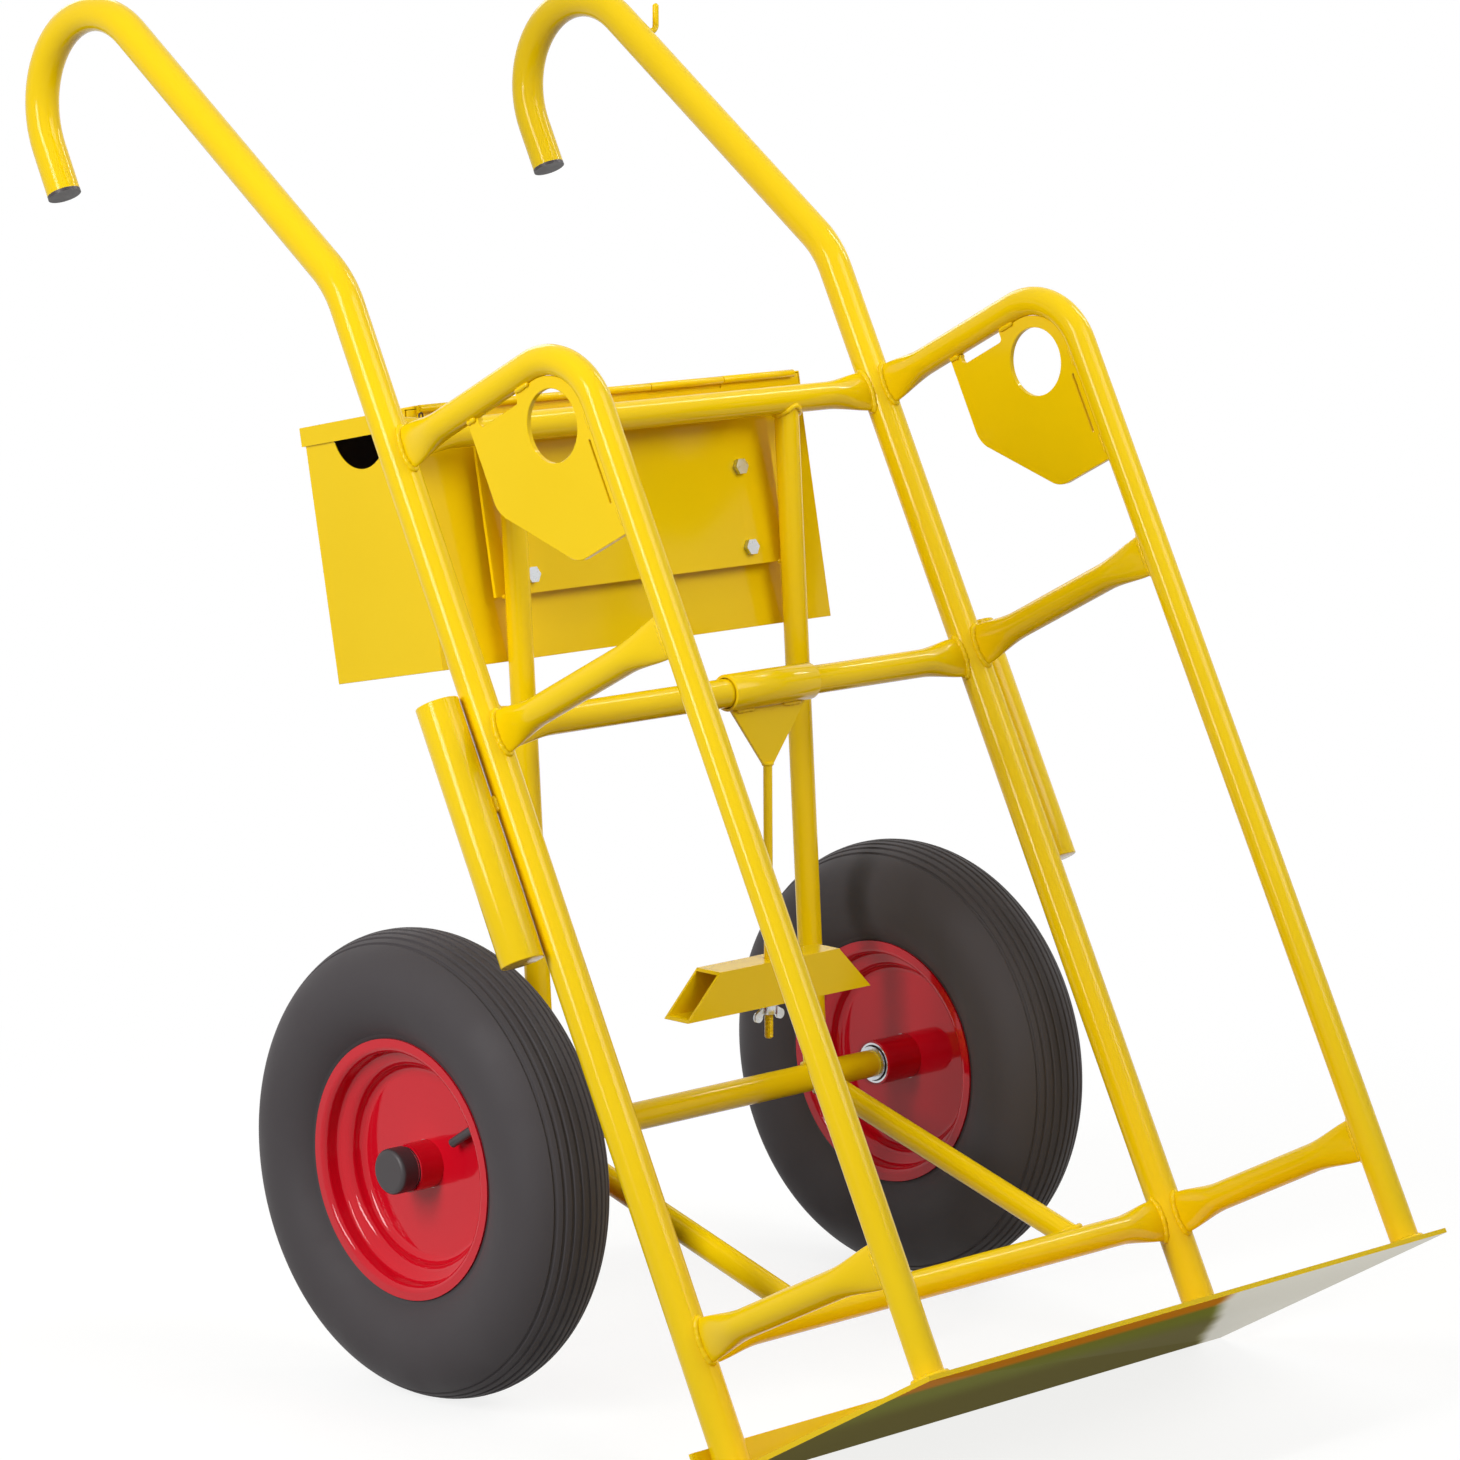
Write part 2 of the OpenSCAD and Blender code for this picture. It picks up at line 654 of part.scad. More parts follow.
// Lid hinge along the front top edge; knuckle k of hinge_count, even ones on the box, odd ones on the lid
module knuckle_span(k, clear) translate([k * knuckle - hinge_length / 2 + clear, 0, 0])
    rotate([90, 0, 90]) linear_extrude(knuckle - 2 * clear) children();
module knuckle_ring() translate([hinge_y, hinge_z]) difference() {
    circle(r = hinge_r, $fn = fine);
    circle(r = hinge_pin_r + play, $fn = fine);
}
module hinge_fixed_leaf() yellow() box_axes() {
    for (k = [0 : 2 : hinge_count - 1]) knuckle_span(k, air) {
        knuckle_ring();
        translate([-weld_gap - hinge_leaf, hinge_z - leaf_depth]) square([hinge_leaf, leaf_depth]);
    }
    across(hinge_length) translate([-weld_gap - hinge_leaf, hinge_z - leaf_depth])
        square([hinge_leaf, leaf_depth - 2 * hinge_r]);
}
module hinge_moving_leaf() yellow() box_axes() {
    for (k = [1 : 2 : hinge_count - 1]) knuckle_span(k, air) {
        knuckle_ring();
        translate([hinge_y, box_height + weld_gap]) square([leaf_depth, hinge_leaf]);
    }
    across(hinge_length) translate([lid_front, box_height + weld_gap])
        square([hinge_y + leaf_depth - lid_front, hinge_leaf]);
}
module hinge_pin() steel() box_axes() translate([-hinge_length / 2, hinge_y, hinge_z]) rotate([0, 90, 0])
    cylinder(h = hinge_length, r = hinge_pin_r, $fn = fine);
module tool_box_lid() {
    inside = box_width / 2 + lid_gap;
    outside = inside + box_sheet;
    back = box_depth + lid_gap;
    yellow() box_axes() difference() {
        translate([-outside, lid_front, box_height - box_sheet - lid_lip])
            cube([2 * outside, back + box_sheet - lid_front, box_sheet + lid_lip]);
        translate([-inside, -lid_front, box_height - box_sheet - 2 * lid_lip])
            cube([2 * inside, back + lid_front, 2 * lid_lip]);
    }
}

// Cups for welding rods, each held to its upright by a tack weld
module rod_holder(s) yellow() stand() side(s) translate([hw, 0, holder_low]) rotate(holder_turn)
    difference() {
        union() {
            translate([holder_gap, 0, 0]) cylinder(h = holder_length, r = holder_d / 2, $fn = fine);
            translate([upright_r + holder_clear / 2, 0, tack_rise])
                cylinder(h = tack_length, r = tack_r, $fn = fine);
        }
        translate([holder_gap, 0, holder_wall])
            cylinder(h = holder_length, r = holder_d / 2 - holder_wall, $fn = fine);
        cylinder(h = holder_length, r = upright_r + weld_gap, $fn = fine);
    }
module left_rod_holder() rod_holder(-1);
module right_rod_holder() rod_holder(1);

// Wire hook for a hose on the right handle, its end straight up at rest
module hose_hook() yellow() stand() translate([hw + upright_r + weld_gap, hose_hook_at * sin(handle_angle),
    elbow_height + hose_hook_at * cos(handle_angle)]) rotate([lean, 0, 0]) rotate([90, 0, 90])
        tube_path([[hose_hook_out], [hose_hook_bend, 90], [hose_hook_up]], hose_hook_d, 0);

// Wheels
module wheel_axes(s) stand() side(s) translate([wheel_x, axle_back, axle_height]) children();
module wheel_pair() for (s = [-1, 1]) wheel_axes(s) children();
module axle_caps() {
    start = hub_outer + washer_thickness + 2 * air;
    black() wheel_pair() lathe() difference() {
        union() {
            translate([0, start]) square([cap_r, cap_end - cap_round - start]);
            translate([0, start]) square([cap_r - cap_round, cap_end - start]);
            translate([cap_r - cap_round, cap_end - cap_round]) intersection() {
                circle(r = cap_round, $fn = fine);
                square(cap_round);
            }
        }
        square([axle_r + play, axle_end + weld_gap]);
    }
}
module axle_washers() zinc() wheel_pair()
    ring(axle_r + play, washer_r, hub_outer + air, hub_outer + air + washer_thickness);
module axle_rings() zinc() wheel_pair()
    ring(axle_r + play, retainer_r, hub_inner - air - washer_thickness, hub_inner - air);

// Bearings: both places along the hub, drawn from the inner face of the bearing
module bearing_places() for (x = [hub_inner + bearing_inset, hub_outer - bearing_inset - bearing_w])
    translate([x, 0, 0]) children();
module race(inner, outer) lathe() difference() {
    translate([inner, 0]) square([outer - inner, bearing_w]);
    translate([race_r, bearing_w / 2]) circle(r = ball_r + ball_gap, $fn = fine);
}
module bearing_inner_rings() steel() wheel_pair() bearing_places() race(axle_r + play, inner_ring_r);
module bearing_rings(s) steel() wheel_axes(s) bearing_places() race(outer_ring_r, bearing_r);
module bearing_balls(s) steel() wheel_axes(s) bearing_places() for (k = [1 : ball_count])
    rotate([k * 360 / ball_count, 0, 0]) translate([bearing_w / 2, 0, race_r]) sphere(r = ball_r, $fn = 32);
module bearing_seals(s) black() wheel_axes(s) bearing_places()
    for (x = [bearing_inset, bearing_w - bearing_inset - seal_w])
        ring(seal_inner_r, outer_ring_r - play, x, x + seal_w);
module hub(s) red() wheel_axes(s) difference() {
    ring(hub_bore_r, hub_d / 2, hub_inner, hub_outer);
    ring(0, bearing_r + play, hub_inner - air, hub_inner + bearing_inset + bearing_w);
    ring(0, bearing_r + play, hub_outer - bearing_inset - bearing_w, hub_outer + air);
}
module rim_half_solid() lathe() translate([hub_d / 2 + weld_gap, weld_gap / 2])
    sheet_path(concat([[disc_length]], rim_well, [[seat_length], rim_flange, [flange_rise]]), rim_sheet);
module valve_axis(turn) rotate([turn - 90, 0, 0]) translate([valve_x, 0, 0]) children();
module outer_rim_half(s, turn) red() wheel_axes(s) difference() {
    rim_half_solid();
    valve_axis(turn) translate([0, 0, valve_tip]) cylinder(h = seat_r, r = valve_hole_r, $fn = fine);
}
module inner_rim_half(s) red() wheel_axes(s) mirror([1, 0, 0]) rim_half_solid();
module valve(s, turn) black() wheel_axes(s) valve_axis(turn) difference() {
    union() {
        translate([0, 0, valve_tip]) cylinder(h = valve_root - valve_tip, r = valve_r, $fn = fine);
        translate([0, 0, valve_root - valve_pad]) cylinder(h = valve_pad, r = valve_pad_r, $fn = fine);
    }
    cylinder(h = tyre_r, r = valve_bore_r, $fn = fine);
}
module beads() polygon([[rim_r + casing, -bead_side], [rim_r + casing, bead_side],
    [bead_r + bead_slant, bead_side], [bead_r, bead_side - bead_slant],
    [bead_r, bead_slant - bead_side], [bead_r + bead_slant, -bead_side]]);
module tyre(s) black() wheel_axes(s) lathe() difference() {
    union() {
        translate([section_at, 0]) circle(r = section_r, $fn = fine);
        beads();
    }
    translate([cavity_at, 0]) circle(r = cavity_r, $fn = fine);
    translate([seat_r - casing, -bead_toe]) square([cavity_at - seat_r, 2 * bead_toe]);
    for (k = [-groove_pairs : groove_pairs]) translate([section_at, 0]) rotate(k * groove_turn)
        translate([section_r - groove, -groove / 2]) square([2 * groove, groove]);
}
module inner_tube(s, turn) black() wheel_axes(s) difference() {
    lathe() translate([cavity_at, 0]) difference() {
        circle(r = inner_tube_r, $fn = fine);
        circle(r = inner_tube_r - inner_tube_wall, $fn = fine);
    }
    valve_axis(turn) translate([0, 0, seat_r]) cylinder(h = cavity_at - seat_r, r = valve_bore_r, $fn = fine);
}
module left_tyre() tyre(-1);
module left_inner_tube() inner_tube(-1, left_valve_turn);
module left_outer_rim_half() outer_rim_half(-1, left_valve_turn);
module left_inner_rim_half() inner_rim_half(-1);
module left_hub() hub(-1);
module left_bearing_rings() bearing_rings(-1);
module left_bearing_balls() bearing_balls(-1);
module left_bearing_seals() bearing_seals(-1);
module left_valve() valve(-1, left_valve_turn);
module right_tyre() tyre(1);
module right_inner_tube() inner_tube(1, right_valve_turn);
module right_outer_rim_half() outer_rim_half(1, right_valve_turn);
module right_inner_rim_half() inner_rim_half(1);
module right_hub() hub(1);
module right_bearing_rings() bearing_rings(1);
module right_bearing_balls() bearing_balls(1);
module right_bearing_seals() bearing_seals(1);
module right_valve() valve(1, right_valve_turn);

// Cylinder clamp: a sleeve on the middle crossbar, a hanger with a rod, and a bar held by a wing nut
module clamp_axes() stand() translate([clamp_x, 0, middle_height]) rotate([lean, 0, 0]) children();
module clamp_sleeve() yellow() clamp_axes()
    ring(bar_r + sleeve_play, sleeve_r, -sleeve_length / 2, sleeve_length / 2);
module clamp_hanger() {
    half = sleeve_length / 2 - hanger_inset;
    top = -sleeve_r - air;
    yellow() clamp_axes() translate([0, hanger_sheet / 2, 0]) rotate([90, 0, 0]) linear_extrude(hanger_sheet)
        polygon([[-half, top], [half, top], [hanger_foot, -hanger_drop], [-hanger_foot, -hanger_drop]]);
}
module clamp_rod() yellow() clamp_axes() translate([0, 0, -clamp_low - rod_tail])
    cylinder(h = clamp_low + rod_tail - hanger_drop - weld_gap, r = rod_r, $fn = fine);
module clamp_bar() {
    long = clamp_bar_length / 2;
    short = long - clamp_bar_height;
    yellow() clamp_axes() difference() {
        translate([0, clamp_bar_depth / 2, 0]) rotate([90, 0, 0]) linear_extrude(clamp_bar_depth)
            polygon([[-long, -clamp_low], [long, -clamp_low], [short, -clamp_reach], [-short, -clamp_reach]]);
        translate([-clamp_bar_length, clamp_wall - clamp_bar_depth / 2, clamp_wall - clamp_low])
            cube([2 * clamp_bar_length, clamp_bar_depth - 2 * clamp_wall, clamp_bar_height - 2 * clamp_wall]);
        translate([0, 0, -2 * clamp_low]) cylinder(h = 2 * clamp_low, r = rod_r + rod_play, $fn = fine);
    }
}
module clamp_washer() zinc() clamp_axes() translate([0, 0, -clamp_low - weld_gap - clamp_washer_h])
    linear_extrude(clamp_washer_h) difference() {
        circle(r = clamp_washer_r, $fn = fine);
        circle(r = rod_r + rod_play, $fn = fine);
    }
module wing_nut() zinc() clamp_axes()
    translate([0, 0, -clamp_low - 2 * weld_gap - clamp_washer_h]) difference() {
    union() {
        translate([0, 0, -nut_height]) cylinder(h = nut_height, r = nut_r, $fn = fine);
        for (turn = [0, 180]) rotate(turn) translate([0, wing_sheet / 2, 0]) rotate([90, 0, 0])
            linear_extrude(wing_sheet) {
                translate([wing_reach, -wing_drop]) circle(r = wing_r, $fn = fine);
                polygon([[rod_r, -2], [nut_r, -2], [wing_reach + 2, 4 - wing_drop],
                    [wing_reach, -wing_drop - wing_r], [nut_r, -nut_height], [rod_r, -nut_height]]);
            }
    }
    cylinder(h = 6 * nut_height, r = rod_r + play, center = true, $fn = fine);
}

left_upright();
right_upright();
left_front_hoop();
right_front_hoop();
top_crossbar();
middle_crossbar();
bottom_crossbar();
left_middle_strut();
right_middle_strut();
left_lower_strut();
right_lower_strut();
left_lifting_plate();
right_lifting_plate();
left_upper_brace();
right_upper_brace();
left_lower_brace();
right_lower_brace();
axle();
toe_plate();
box_mounting_plate();
tool_box();
box_bolts();
box_nuts();
box_spacers();
hinge_fixed_leaf();
hinge_pin();
left_rod_holder();
right_rod_holder();
end_plugs();
hose_hook();
axle_caps();
axle_washers();
axle_rings();
bearing_inner_rings();
tool_box_lid();
hinge_moving_leaf();
left_tyre();
left_inner_tube();
left_outer_rim_half();
left_inner_rim_half();
left_hub();
left_bearing_rings();
left_bearing_balls();
left_bearing_seals();
left_valve();
right_tyre();
right_inner_tube();
right_outer_rim_half();
right_inner_rim_half();
right_hub();
right_bearing_rings();
right_bearing_balls();
right_bearing_seals();
right_valve();
clamp_sleeve();
clamp_hanger();
clamp_rod();
clamp_bar();
clamp_washer();
wing_nut();
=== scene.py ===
"""Looks of a welded tube trolley for gas bottles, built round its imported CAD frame."""

import logging
from dataclasses import dataclass, field
from enum import Enum
from math import cos, pi, radians, sin, sqrt, tan
from typing import Any, Callable, Sequence

import bmesh
import bpy
from bpy.types import Material, Node, NodeSocket, NodeTree, Object
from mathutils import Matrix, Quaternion, Vector
from mathutils.geometry import tessellate_polygon


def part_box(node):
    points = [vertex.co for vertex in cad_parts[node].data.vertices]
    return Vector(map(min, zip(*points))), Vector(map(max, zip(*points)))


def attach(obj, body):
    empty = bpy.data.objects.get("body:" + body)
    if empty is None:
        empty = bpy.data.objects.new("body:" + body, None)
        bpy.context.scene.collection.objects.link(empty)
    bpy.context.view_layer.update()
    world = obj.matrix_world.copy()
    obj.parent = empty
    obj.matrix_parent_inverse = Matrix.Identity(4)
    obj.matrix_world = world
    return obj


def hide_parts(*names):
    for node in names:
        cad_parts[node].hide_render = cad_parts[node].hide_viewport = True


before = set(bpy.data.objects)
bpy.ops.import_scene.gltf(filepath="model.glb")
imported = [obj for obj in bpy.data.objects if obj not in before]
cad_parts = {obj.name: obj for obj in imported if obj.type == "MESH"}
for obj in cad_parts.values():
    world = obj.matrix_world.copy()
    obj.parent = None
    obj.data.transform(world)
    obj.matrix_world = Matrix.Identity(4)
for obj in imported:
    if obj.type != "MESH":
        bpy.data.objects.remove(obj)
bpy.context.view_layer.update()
LOG = logging.getLogger("trolley")
MM = 0.001
X_AXIS, Y_AXIS, Z_AXIS = Vector((1, 0, 0)), Vector((0, 1, 0)), Vector((0, 0, 1))
WHITE = (1.0, 1.0, 1.0, 1.0)
# Millimetres below which corners of a CAD piece are one, and degrees above which its edges are broken.
SEAM_GAP, SHARP = 0.002, 50.0
Pair = tuple[float, float]
Triple = tuple[float, float, float]


class Side(Enum):
    """Side of the trolley, as the sign of X."""

    LEFT = -1
    RIGHT = 1

    def node(self, name: str) -> str:
        """Name of this side's CAD node or body."""
        return f"{self.name.lower()}_{name}"


class Body(Enum):
    """CAD bodies that pieces ride on."""

    FRAME = "frame"
    LEFT_WHEEL = "left_wheel"
    RIGHT_WHEEL = "right_wheel"
    CLAMP_SLIDER = "clamp_slider"
    CLAMP_SWING = "clamp_swing"


class Slot(Enum):
    """Material slots of the record."""

    YELLOW = "yellow_paint"
    TYRE = "tyre"
    STEEL = "bearing_steel"


def linear(hex_colour: str) -> tuple[float, float, float, float]:
    """Turns an sRGB hex colour to linear.

    Args:
        hex_colour: Colour as #RRGGBB.

    Returns:
        Linear red, green, blue and a full alpha.
    """
    parts = [int(hex_colour[i:i + 2], 16) / 255 for i in (1, 3, 5)]
    r, g, b = [c / 12.92 if c <= 0.04045 else ((c + 0.055) / 1.055) ** 2.4 for c in parts]
    return r, g, b, 1.0


def per_metre(size: float) -> float:
    """Noise scale for a pattern of a size in millimetres."""
    return 1 / (size * MM)


def feed(tree: NodeTree, node: Node, inputs: dict[Any, Any]) -> None:
    """Sets a node's inputs.

    Args:
        tree: The node's tree.
        node: Node whose inputs are set.
        inputs: Input socket to its constant value, or to the output that feeds it.
    """
    for socket, value in inputs.items():
        if isinstance(value, NodeSocket):
            tree.links.new(value, node.inputs[socket])
        else:
            node.inputs[socket].default_value = value


def add_node(tree: NodeTree, kind: str, inputs: dict[Any, Any] | None = None, **settings: Any) -> Any:
    """Adds a node with its settings, constant inputs and links.

    Args:
        tree: Node tree that gets the node.
        kind: Blender's name of the node type.
        inputs: Input socket to its constant value, or to the output that feeds it.
        settings: Properties of the node itself.

    Returns:
        The new node's outputs.
    """
    node = tree.nodes.new(kind)
    for name, value in settings.items():
        setattr(node, name, value)
    feed(tree, node, inputs or {})
    return node.outputs


@dataclass(frozen=True)
class Finish:
    """A surface finish: two tones that drift into each other, a gloss range and a fine relief, in mm."""

    name: str
    full: str
    faded: str
    drift: float
    grain: float
    relief: float
    rough: Pair
    metallic: float = 0.0
    specular: float = 0.5
    cloud_span: Pair = (0.3, 0.7)

    def wear_and_painted_light(self, tree: NodeTree, place: NodeSocket, cloud: NodeSocket, looks: dict[str, Any]) -> None:
        """Changes the looks where the finish has suffered or carries painted shade and painted reflection; a
        plain finish has nothing to change.
        """

    def material(self) -> Material:
        """Makes the node material once and hands it out again.

        Returns:
            The Blender material of this finish.
        """
        known = bpy.data.materials.get(self.name)
        if known:
            return known
        made = bpy.data.materials.new(self.name)
        made.use_nodes = True
        tree = made.node_tree
        place = add_node(tree, "ShaderNodeTexCoord")["Object"]
        cloud = add_node(tree, "ShaderNodeTexNoise", {"Vector": place, "Scale": per_metre(self.drift),
                         "Detail": 3.0, "Roughness": 0.55})["Fac"]
        gloss = add_node(tree, "ShaderNodeMapRange", {
            "Value": cloud, "From Min": self.cloud_span[0], "From Max": self.cloud_span[1],
            "To Min": self.rough[0], "To Max": self.rough[1]})["Result"]
        peel = add_node(tree, "ShaderNodeTexNoise", {"Vector": place, "Scale": per_metre(self.grain),
                        "Detail": 2.0, "Roughness": 0.5})["Fac"]
        bump = add_node(tree, "ShaderNodeBump", {"Height": peel, "Strength": 1.0,
                        "Distance": self.relief * MM})["Normal"]
        tone = add_node(tree, "ShaderNodeMix", {0: cloud, 6: linear(self.full), 7: linear(self.faded)},
                        data_type="RGBA")[2]
        looks = {"Base Color": tone, "Roughness": gloss, "Normal": bump, "Metallic": self.metallic,
                 "Specular IOR Level": self.specular}
        self.wear_and_painted_light(tree, place, cloud, looks)
        feed(tree, tree.nodes["Principled BSDF"], looks)
        return made


@dataclass(frozen=True)
class UndersideWithPaintedLight(Finish):
    """Paint on a sheet whose underside is olive painted shade, with a rusty band at the front and a pale
    painted reflection at one end.
    """

    # The first two olive tones are painted shade of the underside; the pale last tone is a painted
    # reflection of the floor.
    thin: str = "#807A48"
    painted_shade_olive: str = "#8B8C52"
    rusty: str = "#BE8A34"
    painted_reflection: str = "#DEDCD4"
    painted_shade_olive_from: Pair = (0.060, 0.105)
    rusty_from: Pair = (0.114, 0.126)
    painted_reflection_from: Pair = (0.300, 0.324)
    painted_reflection_slant: float = 1.75
    ragged: float = 0.05
    underside_rough: float = 0.42
    faces_down: Pair = (-0.3, -0.7)

    def wear_and_painted_light(self, tree: NodeTree, place: NodeSocket, cloud: NodeSocket, looks: dict[str, Any]) -> None:
        """Lays the underside's layers from the heel to the front edge on a metallic underside: olive painted
        shade, a rusty band and a pale painted reflection of the floor.

        Args:
            tree: Node tree that gets the nodes.
            place: Coordinates on the object, in metres.
            cloud: Slow noise from 0 to 1.
            looks: Shader input to its value or to the output that feeds it.
        """
        axes = add_node(tree, "ShaderNodeSeparateXYZ", {0: place})
        # Painted reflection: a pale patch that reaches along a ragged slant towards one end of the
        # underside.
        slant = add_node(tree, "ShaderNodeMath", {0: axes["Z"], 1: self.painted_reflection_slant, 2: axes["X"]},
                         operation="MULTIPLY_ADD")[0]
        painted_reflection_edge = add_node(tree, "ShaderNodeMath", {0: cloud, 1: self.ragged, 2: slant},
                        operation="MULTIPLY_ADD")[0]
        facing = add_node(tree, "ShaderNodeNewGeometry")["True Normal"]
        up = add_node(tree, "ShaderNodeSeparateXYZ", {0: facing})["Z"]
        down = add_node(tree, "ShaderNodeMapRange", {"Value": up, "From Min": self.faces_down[0],
                        "From Max": self.faces_down[1]})["Result"]
        layer: Any = linear(self.thin)
        for colour, along, (start, full) in ((self.painted_shade_olive, axes["Z"], self.painted_shade_olive_from),
                                             (self.rusty, axes["Z"], self.rusty_from),
                                             (self.painted_reflection, painted_reflection_edge, self.painted_reflection_from)):
            share = add_node(tree, "ShaderNodeMapRange", {"Value": along, "From Min": start,
                             "From Max": full}, interpolation_type="SMOOTHSTEP")["Result"]
            layer = add_node(tree, "ShaderNodeMix", {0: share, 6: layer, 7: linear(colour)},
                             data_type="RGBA")[2]
        # Only the faces turned down get the painted shade and painted reflection, and turn metallic.
        for name, above in (("Base Color", looks["Base Color"]), ("Specular Tint", WHITE)):
            looks[name] = add_node(tree, "ShaderNodeMix", {0: down, 6: above, 7: layer}, data_type="RGBA")[2]
        looks["Roughness"] = add_node(tree, "ShaderNodeMix", {0: down, 2: looks["Roughness"],
                                      3: self.underside_rough})[0]
        looks["Metallic"] = down


# Polyester powder coat, sprayed dry and baked on steel: an even, full lemon yellow with a soft gloss and a
# faint orange peel of about 3 mm.
YELLOW_POWDER_COAT = Finish("yellow_powder_coat", "#F4CF08", "#EFC806", 140, 3.2, 0.015, (0.10, 0.17),
                            specular=0.17)
# The same coat on the toe plate: full on top, and below it olive tones that are painted shade, a rusty seam
# at the front edge and a pale corner that is a painted reflection of the floor.
YELLOW_ON_TOE_PLATE = UndersideWithPaintedLight("yellow_powder_coat_on_toe_plate", "#F4CF08", "#EFC806", 140, 3.2, 0.015,
                                    (0.10, 0.17), specular=0.17)
# Matt violet grey on the faces inside the tool box: painted shade for the box's dark inside.
BOX_INSIDE_SHADE = Finish("grey_primer", "#857780", "#796B74", 60, 1.5, 0.03, (0.7, 0.85), specular=0.2)
# Stoved alkyd enamel on pressed sheet steel: a wet-looking, saturated red.
RED_STOVED_ENAMEL = Finish("red_stoved_enamel", "#D40C24", "#CC0A1F", 90, 4.0, 0.015, (0.04, 0.08),
                           specular=0.32)
# Carbon-black natural rubber, moulded in steel: dull charcoal with a fine mould grain and a dusty bloom.
MOULDED_TYRE_RUBBER = Finish("moulded_tyre_rubber", "#3A3638", "#464143", 60, 0.9, 0.05, (0.62, 0.78),
                             specular=0.35)
# Butyl rubber, extruded and cured: smooth, matt black.
BUTYL_TUBE_RUBBER = Finish("butyl_tube_rubber", "#262425", "#2E2C2D", 40, 1.2, 0.03, (0.55, 0.7),
                           specular=0.3)
# Low-density polyethylene, injection moulded: black with a waxy half gloss.
MOULDED_POLYETHYLENE = Finish("moulded_polyethylene", "#363133", "#3F393B", 25, 0.7, 0.03, (0.36, 0.48),
                              specular=0.45)
# Bright zinc plate on steel, barrel plated: silver with a cool, slightly cloudy shine.
BRIGHT_ZINC_PLATE = Finish("bright_zinc_plate", "#D3D6DA", "#BFC4C9", 6, 0.6, 0.01, (0.22, 0.38),
                           metallic=1.0)
# Through-hardened chrome steel, ground and honed: a clean, tight mirror.
GROUND_BEARING_STEEL = Finish("ground_bearing_steel", "#D0D1D4", "#C2C4C8", 8, 0.4, 0.004, (0.12, 0.2),
                              metallic=1.0)
# Soft steel wire, annealed and oiled: brown-black with a dull metal shine.
ANNEALED_IRON_WIRE = Finish("annealed_iron_wire", "#4A403A", "#3A322E", 3, 0.5, 0.01, (0.4, 0.55),
                            metallic=1.0)


@dataclass
class Skin:
    """Vertices and faces of a piece, in millimetres in the row frame."""

    verts: list[Vector] = field(default_factory=list)
    faces: list[tuple[int, ...]] = field(default_factory=list)

    def join(self, other: "Skin") -> None:
        """Takes in another skin.

        Args:
            other: Skin whose vertices and faces are added.
        """
        start = len(self.verts)
        self.verts.extend(other.verts)
        self.faces.extend(tuple(i + start for i in f) for f in other.faces)


def even(full: float, count: int) -> list[float]:
    """Equal steps from 0 to a full measure."""
    return [full * k / count for k in range(count + 1)]


def round_turns(count: int) -> list[float]:
    """Angles of a full turn in equal steps, in radians."""
    return even(2 * pi, count)[:-1]


def swung(centre: Vector, first: Vector, second: Vector, turns: Sequence[float]) -> list[Vector]:
    """Points about a centre, at turns in radians from the first half axis to the second."""
    return [centre + first * cos(t) + second * sin(t) for t in turns]


def seam(start: Vector, end: Vector, steps: int = 16) -> list[Vector]:
    """Points of a straight seam."""
    return [start.lerp(end, part) for part in even(1.0, steps)]


def arc(centre: Pair, radius: float, start: float, end: float, steps: int = 10) -> list[Vector]:
    """Points of an arc in a plane, from a first to a last angle in degrees."""
    turns = [radians(start + turn) for turn in even(end - start, steps)]
    return [Vector((centre[0] + radius * cos(t), centre[1] + radius * sin(t))) for t in turns]


def loft(rings: Sequence[Sequence[Vector]], closed: bool = False, capped: bool = True) -> Skin:
    """Skins a row of rings that have the same number of points.

    Args:
        rings: Rings of points, each closed on itself.
        closed: True where the last ring joins the first.
        capped: True where an open row gets end faces.

    Returns:
        The skin.
    """
    count = len(rings[0])
    skin = Skin([p for ring in rings for p in ring])
    for k in range(len(rings) if closed else len(rings) - 1):
        a, b = k * count, (k + 1) % len(rings) * count
        for i in range(count):
            j = (i + 1) % count
            skin.faces.append((a + i, a + j, b + j, b + i))
    if capped and not closed:
        skin.faces.append(tuple(range(count - 1, -1, -1)))
        skin.faces.append(tuple(range((len(rings) - 1) * count, len(rings) * count)))
    return skin


def inset(loop: Sequence[Vector], depth: float, sharpest: float = 0.4) -> list[Vector]:
    """Moves a closed loop to the left of its direction.

    Args:
        loop: Points of the loop in a plane.
        depth: Distance that its sides move.
        sharpest: Least cosine of half a turn that the corners are moved for.

    Returns:
        The moved points.
    """
    moved = []
    for i, p in enumerate(loop):
        sides = [(b - a).normalized() for a, b in ((loop[i - 1], p), (p, loop[(i + 1) % len(loop)]))]
        left = [Vector((-s.y, s.x)) for s in sides]
        aside = (left[0] + left[1]).normalized()
        moved.append(p + aside * (depth / max(sharpest, aside.dot(left[0]))))
    return moved


